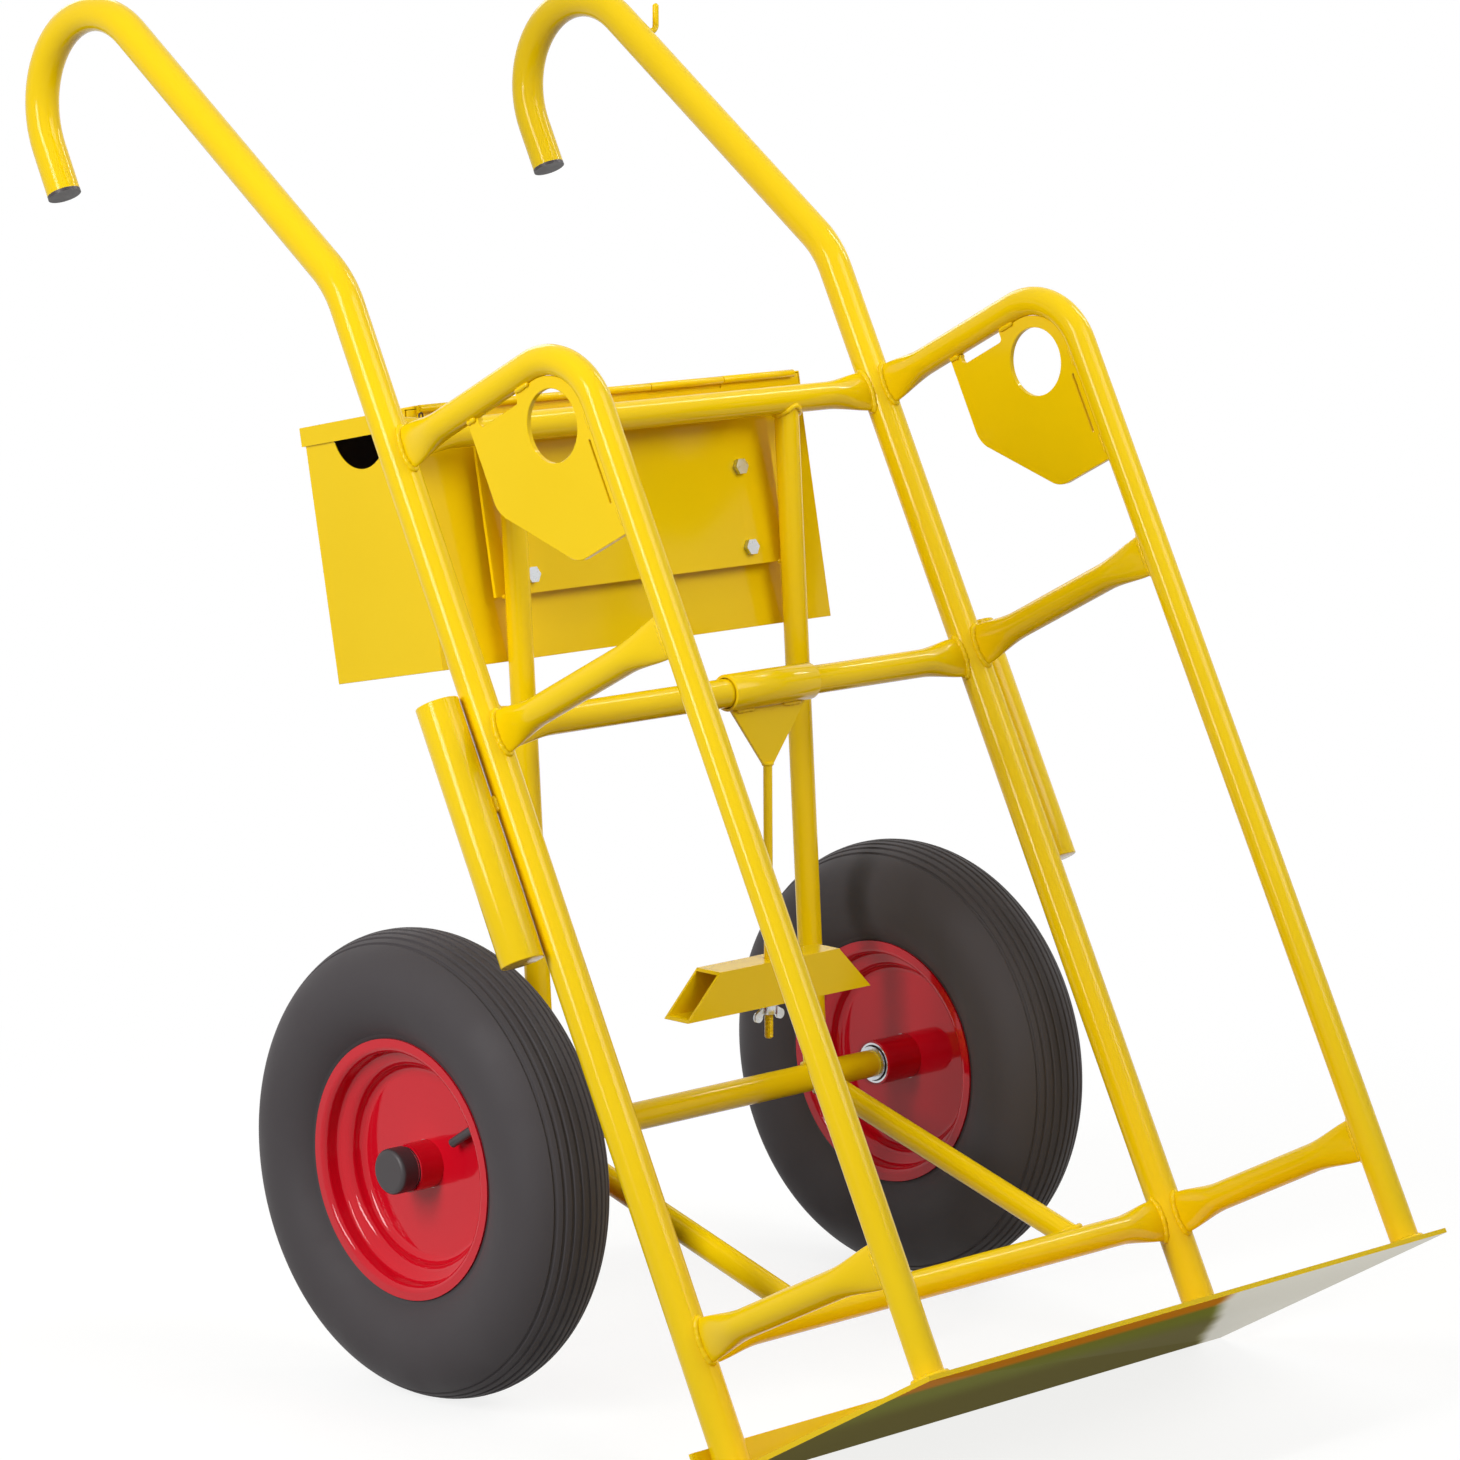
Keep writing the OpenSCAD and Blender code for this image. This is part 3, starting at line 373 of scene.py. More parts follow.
def sheet(loops: Sequence[Sequence[Vector]], thickness: float, edge: float,
          place: Callable[[Vector, float], Vector]) -> Skin:
    """Makes a flat plate with holes and broken edges.

    Args:
        loops: Outline, turning left, and holes, turning right.
        thickness: Thickness of the plate.
        edge: Width of the broken edges.
        place: Gives the point in the row frame for a point of the plane and a distance from mid-plate.

    Returns:
        The skin.
    """
    skin, half = Skin(), thickness / 2
    faces = [inset(loop, edge) for loop in loops]
    for outer, inner in zip(loops, faces):
        rings = ((inner, -half), (outer, edge - half), (outer, half - edge), (inner, half))
        skin.join(loft([[place(p, x) for p in ring] for ring, x in rings], capped=False))
    flat = [p for loop in faces for p in loop]
    patches = [tuple(patch) for patch in tessellate_polygon([[p.to_3d() for p in loop] for loop in faces])]
    for x in (-half, half):
        skin.join(Skin([place(p, x) for p in flat], patches))
    return skin


def turned(profile: Sequence[Sequence[float]], place: Callable[[float, float, float], Vector],
           segments: int = 64) -> Skin:
    """Turns a profile of radii and distances; place takes a radius, a turn in radians and a distance."""
    return loft([[place(r, t, d) for r, d in profile] for t in round_turns(segments)], closed=True)


def sweep(path: Sequence[Vector], radii: Sequence[float], sides: int, closed: bool = False) -> Skin:
    """Draws a round bead along a path.

    Args:
        path: Points of the path.
        radii: Radius at each point.
        sides: Points round the bead.
        closed: True where the path is a loop.

    Returns:
        The skin.
    """
    count = len(path)
    rings, side = [], None
    for i, p in enumerate(path):
        back = path[i - 1] if closed or i else p
        ahead = path[(i + 1) % count] if closed or i < count - 1 else p
        along = (ahead - back).normalized()
        if side is None:
            side = along.orthogonal().normalized()
        side = (side - along * side.dot(along)).normalized()
        rings.append(swung(p, side * radii[i], along.cross(side) * radii[i], round_turns(sides)))
    if closed:
        twist = [(p - rings[0][0]).length for p in rings[-1]]
        shift = twist.index(min(twist))
        for k in range(count):
            part = round(shift * k / count)
            rings[k] = rings[k][part:] + rings[k][:part]
    return loft(rings, closed)


def put(name: str, data: Any) -> Object:
    """Puts a new object with its data into the scene.

    Args:
        name: Name of the object.
        data: Its mesh, lamp or camera.

    Returns:
        The object.
    """
    made = bpy.data.objects.new(name, data)
    bpy.context.scene.collection.objects.link(made)
    return made


def add_piece(name: str, skin: Skin, stands_for: Sequence[str] = (), finish: Finish = YELLOW_POWDER_COAT,
              body: Body = Body.FRAME, slot: Slot = Slot.YELLOW, crease: float = 40.0) -> None:
    """Makes an object of a skin, paints it and lets it ride on a body.

    Args:
        name: Piece name.
        skin: Shape in millimetres.
        stands_for: CAD nodes that it replaces.
        finish: Finish of the whole piece.
        body: CAD body that carries it.
        slot: Record's material slot, not used.
        crease: Angle in degrees above which an edge is sharp.
    """
    mesh = bpy.data.meshes.new(name)
    mesh.from_pydata([v * MM for v in skin.verts], [], skin.faces)
    work = bmesh.new()
    work.from_mesh(mesh)
    bmesh.ops.recalc_face_normals(work, faces=work.faces)
    work.to_mesh(mesh)
    work.free()
    mesh.polygons.foreach_set("use_smooth", [True] * len(mesh.polygons))
    mesh.set_sharp_from_angle(angle=radians(crease))
    mesh.materials.append(finish.material())
    piece = put(name, mesh)
    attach(piece, body.value)
    if stands_for:
        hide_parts(*stands_for)
    LOG.info("%s: %d faces on %s", name, len(mesh.polygons), body.value)


def dress(finish: Finish, *nodes: str, round_edge: float = 0.0) -> None:
    """Gives CAD nodes their finish, and breaks the edges of sheet and plate.

    Args:
        finish: Finish for all their faces.
        nodes: CAD nodes.
        round_edge: Width of the broken edges in millimetres, 0 for turned pieces.
    """
    for node in nodes:
        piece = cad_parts[node]
        piece.data.materials.clear()
        piece.data.materials.append(finish.material())
        if round_edge > 0:
            piece.modifiers.new("seams", "WELD").merge_threshold = SEAM_GAP * MM
            edge = piece.modifiers.new("edges", "BEVEL")
            edge.width, edge.segments, edge.harden_normals = round_edge * MM, 2, True
            edge.limit_method, edge.angle_limit = "ANGLE", radians(SHARP)
        LOG.info("%s: %s", node, finish.name)


@dataclass(frozen=True)
class Recline:
    """The frame's lean on its wheels and heel, from the frame's own axes to the row frame."""

    lean: float = 26.90577
    shift_y: float = -328.6068
    shift_z: float = 6.3285

    def place(self, x: float, y: float, z: float) -> Vector:
        """Point in the row frame for millimetres to the right, to the back and up along the uprights."""
        c, s = cos(radians(self.lean)), sin(radians(self.lean))
        return Vector((x, y * c + z * s + self.shift_y, z * c - y * s + self.shift_z))


RECLINE = Recline()


@dataclass
class ToePlate:
    """The bent sheet that the bottles stand on."""

    rise: float = 2.75
    heel_inner: float = 3.0
    thickness: float = 4.0
    heel_y: float = 12.2

    def top(self, y: float) -> float:
        """Height of the upper face at a depth y."""
        rise = radians(self.rise)
        return self.heel_inner + self.thickness - self.heel_inner / cos(rise) + (self.heel_y - y) * tan(rise)

    def build(self) -> None:
        """Paints the plate and breaks its sheared edges."""
        dress(YELLOW_ON_TOE_PLATE, "toe_plate", round_edge=0.5)


@dataclass
class TubeFrame:
    """Uprights, hoops, crossbars, struts, braces and axle."""

    plate: ToePlate
    half_track: float = 287.0
    upright_r: float = 15.0
    bar_r: float = 12.5
    elbow_z: float = 1041.0
    elbow_radius: float = 90.0
    handle_angle: float = 27.0
    handle: float = 343.0
    hook_radius: float = 82.0
    hook_drop: float = 43.0
    hoop_reach: float = 247.0
    hoop_radius: float = 60.0
    top: float = 900.0
    left_hoop_drop: float = 14.0
    middle: float = 642.0
    left_strut_drop: float = 8.0
    right_strut_rise: float = 4.0
    bottom: float = 112.0
    brace_r: float = 11.0
    brace_half: float = 163.5
    brace_shift: float = 6.5
    axle_y: float = 244.0
    axle_z: float = 341.0
    axle_r: float = 12.5
    axle_half: float = 327.0
    flat_tall: float = 18.5
    flat_thin: float = 5.0
    flat_length: float = 55.0
    flat_start: float = 2.0
    flat_sunk: float = 5.0
    foot_sunk: float = 1.0
    flat_steps: int = 22
    bend_steps: int = 32
    sides: int = 40

    def hoop_top(self, side: Side) -> float:
        """Height of a hoop's top: the left one is welded on lower."""
        return self.top - (self.left_hoop_drop if side is Side.LEFT else 0.0)

    def strut_z(self, side: Side) -> float:
        """Height of a middle strut."""
        return self.middle + (-self.left_strut_drop if side is Side.LEFT else self.right_strut_rise)

    def brace_x(self, side: Side) -> float:
        """Place of a brace across the trolley."""
        return side.value * self.brace_half + self.brace_shift

    def section(self, from_end: float) -> Pair:
        """Gives a bar's section at a distance from its flattened end.

        Args:
            from_end: The distance, below 0 inside the post.

        Returns:
            Half height and half width.
        """
        s = min(1.0, max(0.0, 1 - from_end / self.flat_length))
        e = s * s * (3 - 2 * s)
        return self.bar_r + (self.flat_tall - self.bar_r) * e, self.bar_r + (self.flat_thin - self.bar_r) * e

    def oval(self, centre: Vector, tall: Vector, thin: Vector, size: Pair) -> list[Vector]:
        """Ring in the row frame of a section's middle, directions and half sizes in the frame's axes."""
        points = swung(centre, tall * size[0], thin * size[1], round_turns(self.sides))
        return [RECLINE.place(*p) for p in points]

    def add_tube(self, node: str, rings: Sequence[Sequence[Vector]]) -> None:
        """Adds the smooth tube that stands for a CAD node."""
        add_piece(f"{node}_tube", loft(rings), [node])

    def straight(self, node: str, ends: Sequence[Vector], tall: Vector, r: float) -> None:
        """Builds a straight round tube between two ends; its rings start in the direction tall."""
        thin = (ends[1] - ends[0]).normalized().cross(tall)
        self.add_tube(node, [self.oval(p, tall, thin, (r, r)) for p in ends])

    def bar(self, node: str, start: Vector, along: Vector, length: float) -> None:
        """Builds a level bar with two flattened ends.

        Args:
            node: CAD node that it stands for.
            start: Its first end.
            along: Its direction.
            length: Its length.
        """
        steps = even(self.flat_length, self.flat_steps)
        places = [-self.flat_sunk, *steps, *(length - d for d in reversed(steps)), length + self.flat_sunk]
        self.add_tube(node, [self.oval(start + along * d, Z_AXIS, Z_AXIS.cross(along),
                                       self.section(min(d, length - d))) for d in places])

    def bent(self, at: Vector, heading: float, legs: Sequence[Triple], r: float) -> list[list[Vector]]:
        """Draws a round tube that bends in the plane of its side.

        Args:
            at: Its start.
            heading: Its first direction, in degrees from up to the back.
            legs: Length of each straight, then radius and degrees of its bend, both below 0 to bend forward.
            r: Radius of the tube.

        Returns:
            Rings at the end of each straight and along each bend.
        """
        rings = []
        for length, radius, bend in legs:
            aside = Vector((0, cos(radians(heading)), -sin(radians(heading))))
            middle = at + X_AXIS.cross(aside) * length + aside * radius
            for turn in even(bend, self.bend_steps) if bend else [0.0]:
                t = radians(heading + turn)
                aside = Vector((0, cos(t), -sin(t)))
                at = middle - aside * radius
                rings.append(self.oval(at, aside, X_AXIS, (r, r)))
            heading += bend
        return rings

    def hoop(self, side: Side) -> None:
        """Builds a front hoop: flattened at the upright, then forward and down to the toe plate.

        Args:
            side: Side of the trolley.
        """
        foot = self.plate.top(-self.hoop_reach) - self.foot_sunk
        top, radius, inside = self.hoop_top(side), self.hoop_radius, self.upright_r - self.flat_start
        start = Vector((side.value * self.half_track, -inside, top))
        rings = [self.oval(start - Y_AXIS * d, Z_AXIS, X_AXIS, self.section(d))
                 for d in [-self.flat_sunk, *even(self.flat_length, self.flat_steps)]]
        legs = ((self.hoop_reach - radius - inside, -radius, -90), (top - radius - foot, 0, 0))
        self.add_tube(side.node("front_hoop"), rings + self.bent(start, -90, legs, self.bar_r))

    def upright(self, side: Side) -> None:
        """Builds an upright: straight, an elbow back, the handle, the hook and its end.

        Args:
            side: Side of the trolley.
        """
        foot = self.plate.top(0) - self.foot_sunk
        tangent = self.elbow_radius * tan(radians(self.handle_angle / 2))
        legs = ((0, 0, 0), (self.elbow_z - tangent - foot, self.elbow_radius, self.handle_angle),
                (self.handle - tangent, self.hook_radius, 180 - self.handle_angle), (self.hook_drop, 0, 0))
        start = Vector((side.value * self.half_track, 0, foot))
        self.add_tube(side.node("upright"), self.bent(start, 0, legs, self.upright_r))

    def build(self) -> None:
        """Builds all tubes."""
        end, inside = self.half_track - self.upright_r + self.flat_start, self.upright_r - self.flat_start
        length, axle = self.hoop_reach - self.bar_r + self.flat_start - inside, (self.axle_y, self.axle_z)
        for name, height in (("top", self.top), ("middle", self.middle), ("bottom", self.bottom)):
            self.bar(f"{name}_crossbar", Vector((-end, 0, height)), X_AXIS, 2 * end)
        for side in Side:
            for name, height in (("middle_strut", self.strut_z(side)), ("lower_strut", self.bottom)):
                start = Vector((side.value * self.half_track, -inside, height))
                self.bar(side.node(name), start, -Y_AXIS, length)
            self.hoop(side)
            self.upright(side)
            for name, height in (("upper_brace", self.top), ("lower_brace", self.bottom)):
                ends = [Vector((self.brace_x(side), *at)) for at in (axle, (0, height))]
                self.straight(side.node(name), ends, X_AXIS.cross((ends[1] - ends[0]).normalized()),
                              self.brace_r)
        ends = [Vector((x, *axle)) for x in (-self.axle_half, self.axle_half)]
        self.straight("axle", ends, Y_AXIS, self.axle_r)


@dataclass
class RodHolders:
    """Cups for welding rods, each tacked to its upright."""

    tubes: TubeFrame
    radius: float = 18.5
    wall: float = 2.5
    low: float = 448.0
    length: float = 226.0
    turn: float = 25.0
    gap: float = 1.4
    rim: float = 0.9
    rim_steps: int = 4
    axis_hole: float = 0.1
    tack: Pair = (573.0, 587.0)
    tack_aside: float = 4.6

    def along(self, side: Side, out: float, aside: float) -> Pair:
        """Point in plan, at distances from the upright's axis towards the cup and square to that."""
        c, s = cos(radians(self.turn)), sin(radians(self.turn))
        return side.value * (self.tubes.half_track + out * c - aside * s), out * s + aside * c

    def cup(self, side: Side) -> Skin:
        """Draws a blind tube with a rounded rim.

        Args:
            side: Side of the trolley.

        Returns:
            The skin.
        """
        soft, steps, hole = self.rim, self.rim_steps, self.axis_hole
        outer, inner, high = self.radius - soft, self.radius - self.wall, self.length - soft
        profile = [(hole, 0), *arc((outer, soft), soft, -90, 0, steps),
                   *arc((outer, high), soft, 0, 90, steps),
                   *arc((inner + soft, high), soft, 90, 180, steps)[1:],
                   (inner, self.wall), (hole, self.wall)]
        x, y = self.along(side, self.tubes.upright_r + self.gap + self.radius, 0)
        return turned(profile, lambda r, t, d: RECLINE.place(x + r * cos(t), y + r * sin(t), self.low + d))

    def build(self) -> None:
        """Builds both cups."""
        for node, side in ((side.node("rod_holder"), side) for side in Side):
            add_piece(f"{node}_cup", self.cup(side), [node])


@dataclass
class Welds:
    """Weld beads of the frame, painted over with the rest."""

    tubes: TubeFrame
    holders: RodHolders
    bead: float = 2.6
    foot_bead: float = 2.9
    stitch_bead: float = 2.2
    tack_bead: float = 2.8
    pitch: float = 5.0
    step: float = 1.25
    ripple: Pair = (0.10, 0.07)
    slow_wave: float = 0.37
    end_size: float = 0.35
    end_growth: float = 6.0
    sides: int = 8
    points: int = 72
    flat_proud: Pair = (0.6, 0.4)
    brace_proud: Pair = (0.5, 0.5)
    foot_proud: Pair = (1.0, 0.7)
    lift_half: float = 3.4
    lift_proud: float = 0.6
    lift_top: tuple[Pair, ...] = ((-98.0, -109.0), (-164.0, -182.0))
    lift_leg: tuple[Pair, ...] = ((45.0, 63.0), (127.0, 145.0))
    plate_z: float = 773.0
    plate_y: float = 67.6
    plate_half: float = 8.0
    flange_half: float = 12.0
    flange_rise: float = 1.2
    flange_inner: float = 0.4
    box_tilt: float = 16.0
    skin: Skin = field(default_factory=Skin)

    def run(self, points: Sequence[Vector], bead: float, closed: bool = True) -> None:
        """Lays a rippled bead along points of the frame's axes."""
        self.skin.join(self.rippled([RECLINE.place(*p) for p in points], bead, closed))

    def rippled(self, place: Sequence[Vector], bead: float, closed: bool = True) -> Skin:
        """Draws a rippled bead along points of the row frame.

        Args:
            place: Points of the seam.
            bead: Radius of the bead.
            closed: True where it goes all the way round.

        Returns:
            The skin.
        """
        count = len(place)
        lengths = [0.0]
        for i in range(1, count + (1 if closed else 0)):
            lengths.append(lengths[-1] + (place[i % count] - place[i - 1]).length)
        span = lengths[-1]
        steps, ripples = max(12, round(span / self.step)), max(2, round(span / self.pitch))
        path, radii, seg = [], [], 0
        for k in range(steps if closed else steps + 1):
            s = span * k / steps
            while seg < len(lengths) - 2 and lengths[seg + 1] < s:
                seg += 1
            part = (s - lengths[seg]) / max(1e-9, lengths[seg + 1] - lengths[seg])
            path.append(place[seg].lerp(place[(seg + 1) % count], part))
            wave, (fast, slow) = 2 * pi * ripples * k / steps, self.ripple
            size = bead * (1 + fast * sin(wave) + slow * sin(self.slow_wave * wave + count))
            if not closed:
                size *= min(1.0, self.end_size + self.end_growth * min(k, steps - k) / steps)
            radii.append(size)
        return sweep(path, radii, self.sides, closed)

    def collar(self, centre: Vector, axis: Vector, along: Vector, half: Pair, proud: Pair,
               post_r: float) -> None:
        """Lays a bead where a tube meets a round post.

        Args:
            centre: Point of the post's axis.
            axis: Direction of the post.
            along: Direction from the post into the tube.
            half: Half size of the tube along the post and across it.
            proud: How far the bead's middle is outside the tube and the post.
            post_r: Radius of the post.
        """
        across, (high, wide) = axis.cross(along), (size + proud[0] for size in half)
        self.run([centre + axis * (high * cos(t)) + across * (wide * sin(t))
                  + along * (sqrt(post_r ** 2 - (wide * sin(t)) ** 2) + proud[1])
                  for t in round_turns(self.points)], self.bead)

    def stitch(self, ends: Sequence[Sequence[float]], bead: float) -> None:
        """Lays a short straight bead between two points of the frame's axes."""
        self.run(seam(*(Vector(end) for end in ends)), bead, closed=False)

    def lifting_plate(self, side: Side) -> None:
        """Stitches a lifting plate under its hoop's top and behind its leg.

        Args:
            side: Side of the trolley.
        """
        f = self.tubes
        top, leg = f.hoop_top(side) - f.bar_r - self.lift_proud, f.bar_r - f.hoop_reach + self.lift_proud
        for face in (-1, 1):
            x = side.value * f.half_track + face * self.lift_half
            for ends in self.lift_top:
                self.stitch([(x, y, top) for y in ends], self.stitch_bead)
            for ends in self.lift_leg:
                self.stitch([(x, leg, top - drop) for drop in ends], self.stitch_bead)

    def box_plate(self, side: Side) -> None:
        """Stitches the box's mounting plate to a brace and to the top crossbar.

        Args:
            side: Side of the trolley.
        """
        f, x, tilt = self.tubes, self.tubes.brace_x(side), radians(self.box_tilt)
        out = f.bar_r + self.foot_proud[0]
        y, z = out * cos(tilt), f.top + out * sin(tilt) + self.flange_rise
        for middle, half, at in ((x, self.plate_half, (self.plate_y, self.plate_z)),
                                 (self.flange_inner * x, self.flange_half, (y, z)),
                                 (x, self.flange_half, (y, z))):
            self.stitch([(middle - half, *at), (middle + half, *at)], self.stitch_bead)

    def build(self) -> None:
        """Lays all beads of the frame."""
        f, holders = self.tubes, self.holders
        axle, top, low = (f.axle_y, f.axle_z), (0.0, f.top), (0.0, f.bottom)
        flat, plain = (f.flat_tall, f.flat_thin), (f.brace_r, f.brace_r)
        for side in Side:
            x = side.value * f.half_track
            for y, along, post_r, heights in (
                    (0, X_AXIS * -side.value, f.upright_r, (f.top, f.middle, f.bottom)),
                    (0, -Y_AXIS, f.upright_r, (f.hoop_top(side), f.strut_z(side), f.bottom)),
                    (-f.hoop_reach, Y_AXIS, f.bar_r, (f.strut_z(side), f.bottom))):
                for z in heights:
                    self.collar(Vector((x, y, z)), Z_AXIS, along, flat, self.flat_proud, post_r)
            for at, towards, post_r in ((top, axle, f.bar_r), (low, axle, f.bar_r), (axle, top, f.axle_r),
                                        (axle, low, f.axle_r)):
                centre, end = (Vector((f.brace_x(side), *p)) for p in (at, towards))
                self.collar(centre, X_AXIS, (end - centre).normalized(), plain, self.brace_proud, post_r)
            for y, r in ((-f.hoop_reach, f.bar_r), (0, f.upright_r)):
                out, rise = r + self.foot_proud[0], self.foot_proud[1]
                around = swung(Vector((x, y, 0)), X_AXIS * out, Y_AXIS * out, round_turns(self.points))
                self.run([Vector((p.x, p.y, f.plate.top(p.y) + rise)) for p in around], self.foot_bead)
            self.lifting_plate(side)
            self.box_plate(side)
            groove = f.upright_r + holders.gap / 2
            for aside in (-holders.tack_aside, holders.tack_aside):
                self.stitch([(*holders.along(side, groove, aside), z) for z in holders.tack], self.tack_bead)
        add_piece("frame_weld_beads", self.skin, crease=75)


@dataclass
class LiftingPlate:
    """Plate in a hoop's corner, with an eye, a slot under the hoop and a slit beside the hoop's leg."""

    tubes: TubeFrame
    side: Side
    thickness: float = 5.0
    edge: float = 0.5
    gap: float = 0.2
    back: float = 97.0
    drop: float = 164.0
    cut: float = 72.0
    soft: float = 26.0
    eye: Pair = (191.0, 41.5)
    eye_r: float = 30.0
    slot: Pair = (110.0, 162.0)
    slot_depth: float = 9.5
    slot_soft: float = 4.0
    slit_from_leg: float = 7.5
    slit_half: float = 1.0
    slit_rise: float = 28.0
    slit_length: float = 55.0

    def loops(self) -> list[list[Vector]]:
        """Draws the plate, as distances forward and down from the hoop's underside.

        Returns:
            Its outline, eye and slit.
        """
        f, soft, half, r = self.tubes, self.soft, self.slit_half, self.slot_soft
        front, low = (size - f.bar_r - self.gap for size in (f.hoop_reach, self.drop))
        corner, tangent = f.hoop_radius - f.bar_r - self.gap, soft * tan(radians(22.5))
        (start, stop), deep = self.slot, self.slot_depth - r
        outline = [Vector((self.back, 0)), Vector((start, 0)), *arc((start + r, deep), r, 180, 90),
                   *arc((stop - r, deep), r, 90, 0), Vector((stop, 0)),
                   *arc((front - corner, corner), corner, -90, 0, 24), Vector((front, low)),
                   *arc((self.back + self.cut + tangent, low - soft), soft, 90, 135),
                   *arc((self.back + soft, low - self.cut - tangent), soft, 135, 180)]
        at, end = front - self.slit_from_leg, low - self.slit_rise
        slit = [*arc((at, end - self.slit_length + half), half, 0, -180, 6),
                *arc((at, end - half), half, 180, 0, 6)]
        return [outline, arc(self.eye, self.eye_r, 360, 0, 72)[:-1], slit]

    def build(self) -> None:
        """Cuts the plate and sets it in its hoop."""
        f, node = self.tubes, self.side.node("lifting_plate")
        x, top = self.side.value * f.half_track, f.hoop_top(self.side) - f.bar_r - self.gap
        add_piece(f"{node}_sheet", sheet(self.loops(), self.thickness, self.edge, lambda p, off:
                                         RECLINE.place(x + off, -p.x, top - p.y)), [node])


@dataclass
class Fittings:
    """Lifting plates, hose hook, end plugs, and the small pieces that stay on the axle."""

    welds: Welds
    hook_below_bend: float = 21.0
    wire_r: float = 3.0
    wire_in: float = 2.0
    wire_out: float = 10.0
    wire_bend: float = 6.0
    wire_up: float = 20.0
    tip_least: float = 0.03
    bead: float = 1.6
    bead_proud: Pair = (0.4, 0.6)

    def hose_hook(self) -> None:
        """Builds the bent wire on the right handle, with a round tip and a bead at its root."""
        f, r = self.welds.tubes, self.wire_r
        turn, up = radians(f.handle_angle), f.handle - self.hook_below_bend
        root = RECLINE.place(f.half_track + f.upright_r, up * sin(turn), f.elbow_z + up * cos(turn))
        path = [root - X_AXIS * self.wire_in, root, root + X_AXIS * self.wire_out]
        path += swung(path[-1] + Z_AXIS * self.wire_bend, -Z_AXIS * self.wire_bend, X_AXIS * self.wire_bend,
                      even(pi / 2, 12)[1:])
        end, tips = path[-1] + Z_AXIS * (self.wire_up - r), even(pi / 2, 6)
        radii = [r] * len(path) + [r * max(self.tip_least, cos(t)) for t in tips]
        path += [end + Z_AXIS * (r * sin(t)) for t in tips]
        skin = sweep(path, radii, 20)
        around, out = r + self.bead_proud[0], self.bead_proud[1]
        ring = swung(root + X_AXIS * out, Y_AXIS * around, Z_AXIS * around, round_turns(24))
        skin.join(self.welds.rippled(ring, self.bead))
        add_piece("hose_hook_wire", skin, ["hose_hook"])

    def build(self) -> None:
        """Gives the small frame pieces their shapes and finishes."""
        for side in Side:
            LiftingPlate(self.welds.tubes, side).build()
        self.hose_hook()
        dress(MOULDED_POLYETHYLENE, "end_plugs", "axle_caps")
        dress(BRIGHT_ZINC_PLATE, "axle_washers", "axle_rings")
        dress(GROUND_BEARING_STEEL, "bearing_inner_rings")


@dataclass
class ToolBox:
    """Sheet box with its lid, hinge, mounting plate and fasteners."""

    keeper_wire: float = 0.7
    keeper_half: float = 2.0
    keeper_low: float = 10.0
    keeper_high: float = 3.0

    def keeper(self) -> None:
        """Builds the small wire loop that keeps the hinge pin at its left end."""
        low, high = (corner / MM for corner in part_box("hinge_pin"))
        at = Vector((low.x, 2 * low.y - (low.y + high.y) / 2, (low.z + high.z) / 2))
        half, arch = X_AXIS * self.keeper_half, at - Z_AXIS * (self.keeper_high + self.keeper_half)
        foot = at - Z_AXIS * self.keeper_low
        path = [foot - half, *swung(arch, -half, Z_AXIS * self.keeper_half, even(pi, 10)), foot + half]
        add_piece("hinge_pin_keeper", sweep(path, [self.keeper_wire] * len(path), 8),
                  finish=ANNEALED_IRON_WIRE, slot=Slot.STEEL)

    def shade_inside_painted(self) -> None:
        """Gives the faces that look into the box the violet grey of painted shade."""
        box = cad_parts["tool_box"]
        low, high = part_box("tool_box")
        middle = box.matrix_world.inverted() @ ((low + high) / 2)
        box.data.materials.append(BOX_INSIDE_SHADE.material())
        # Painted shade: every face that looks into the box gets the dark violet grey.
        for face in box.data.polygons:
            if (middle - face.center).dot(face.normal) > 0:
                face.material_index = 1

    def build(self) -> None:
        """Paints the sheets and plates the fasteners."""
        dress(YELLOW_POWDER_COAT, "tool_box", "tool_box_lid", "box_mounting_plate", round_edge=0.6)
        dress(YELLOW_POWDER_COAT, "hinge_fixed_leaf", "hinge_moving_leaf", round_edge=0.2)
        dress(YELLOW_POWDER_COAT, "hinge_pin")
        dress(BRIGHT_ZINC_PLATE, "box_bolts", "box_nuts", "box_spacers", round_edge=0.4)
        self.shade_inside_painted()
        self.keeper()


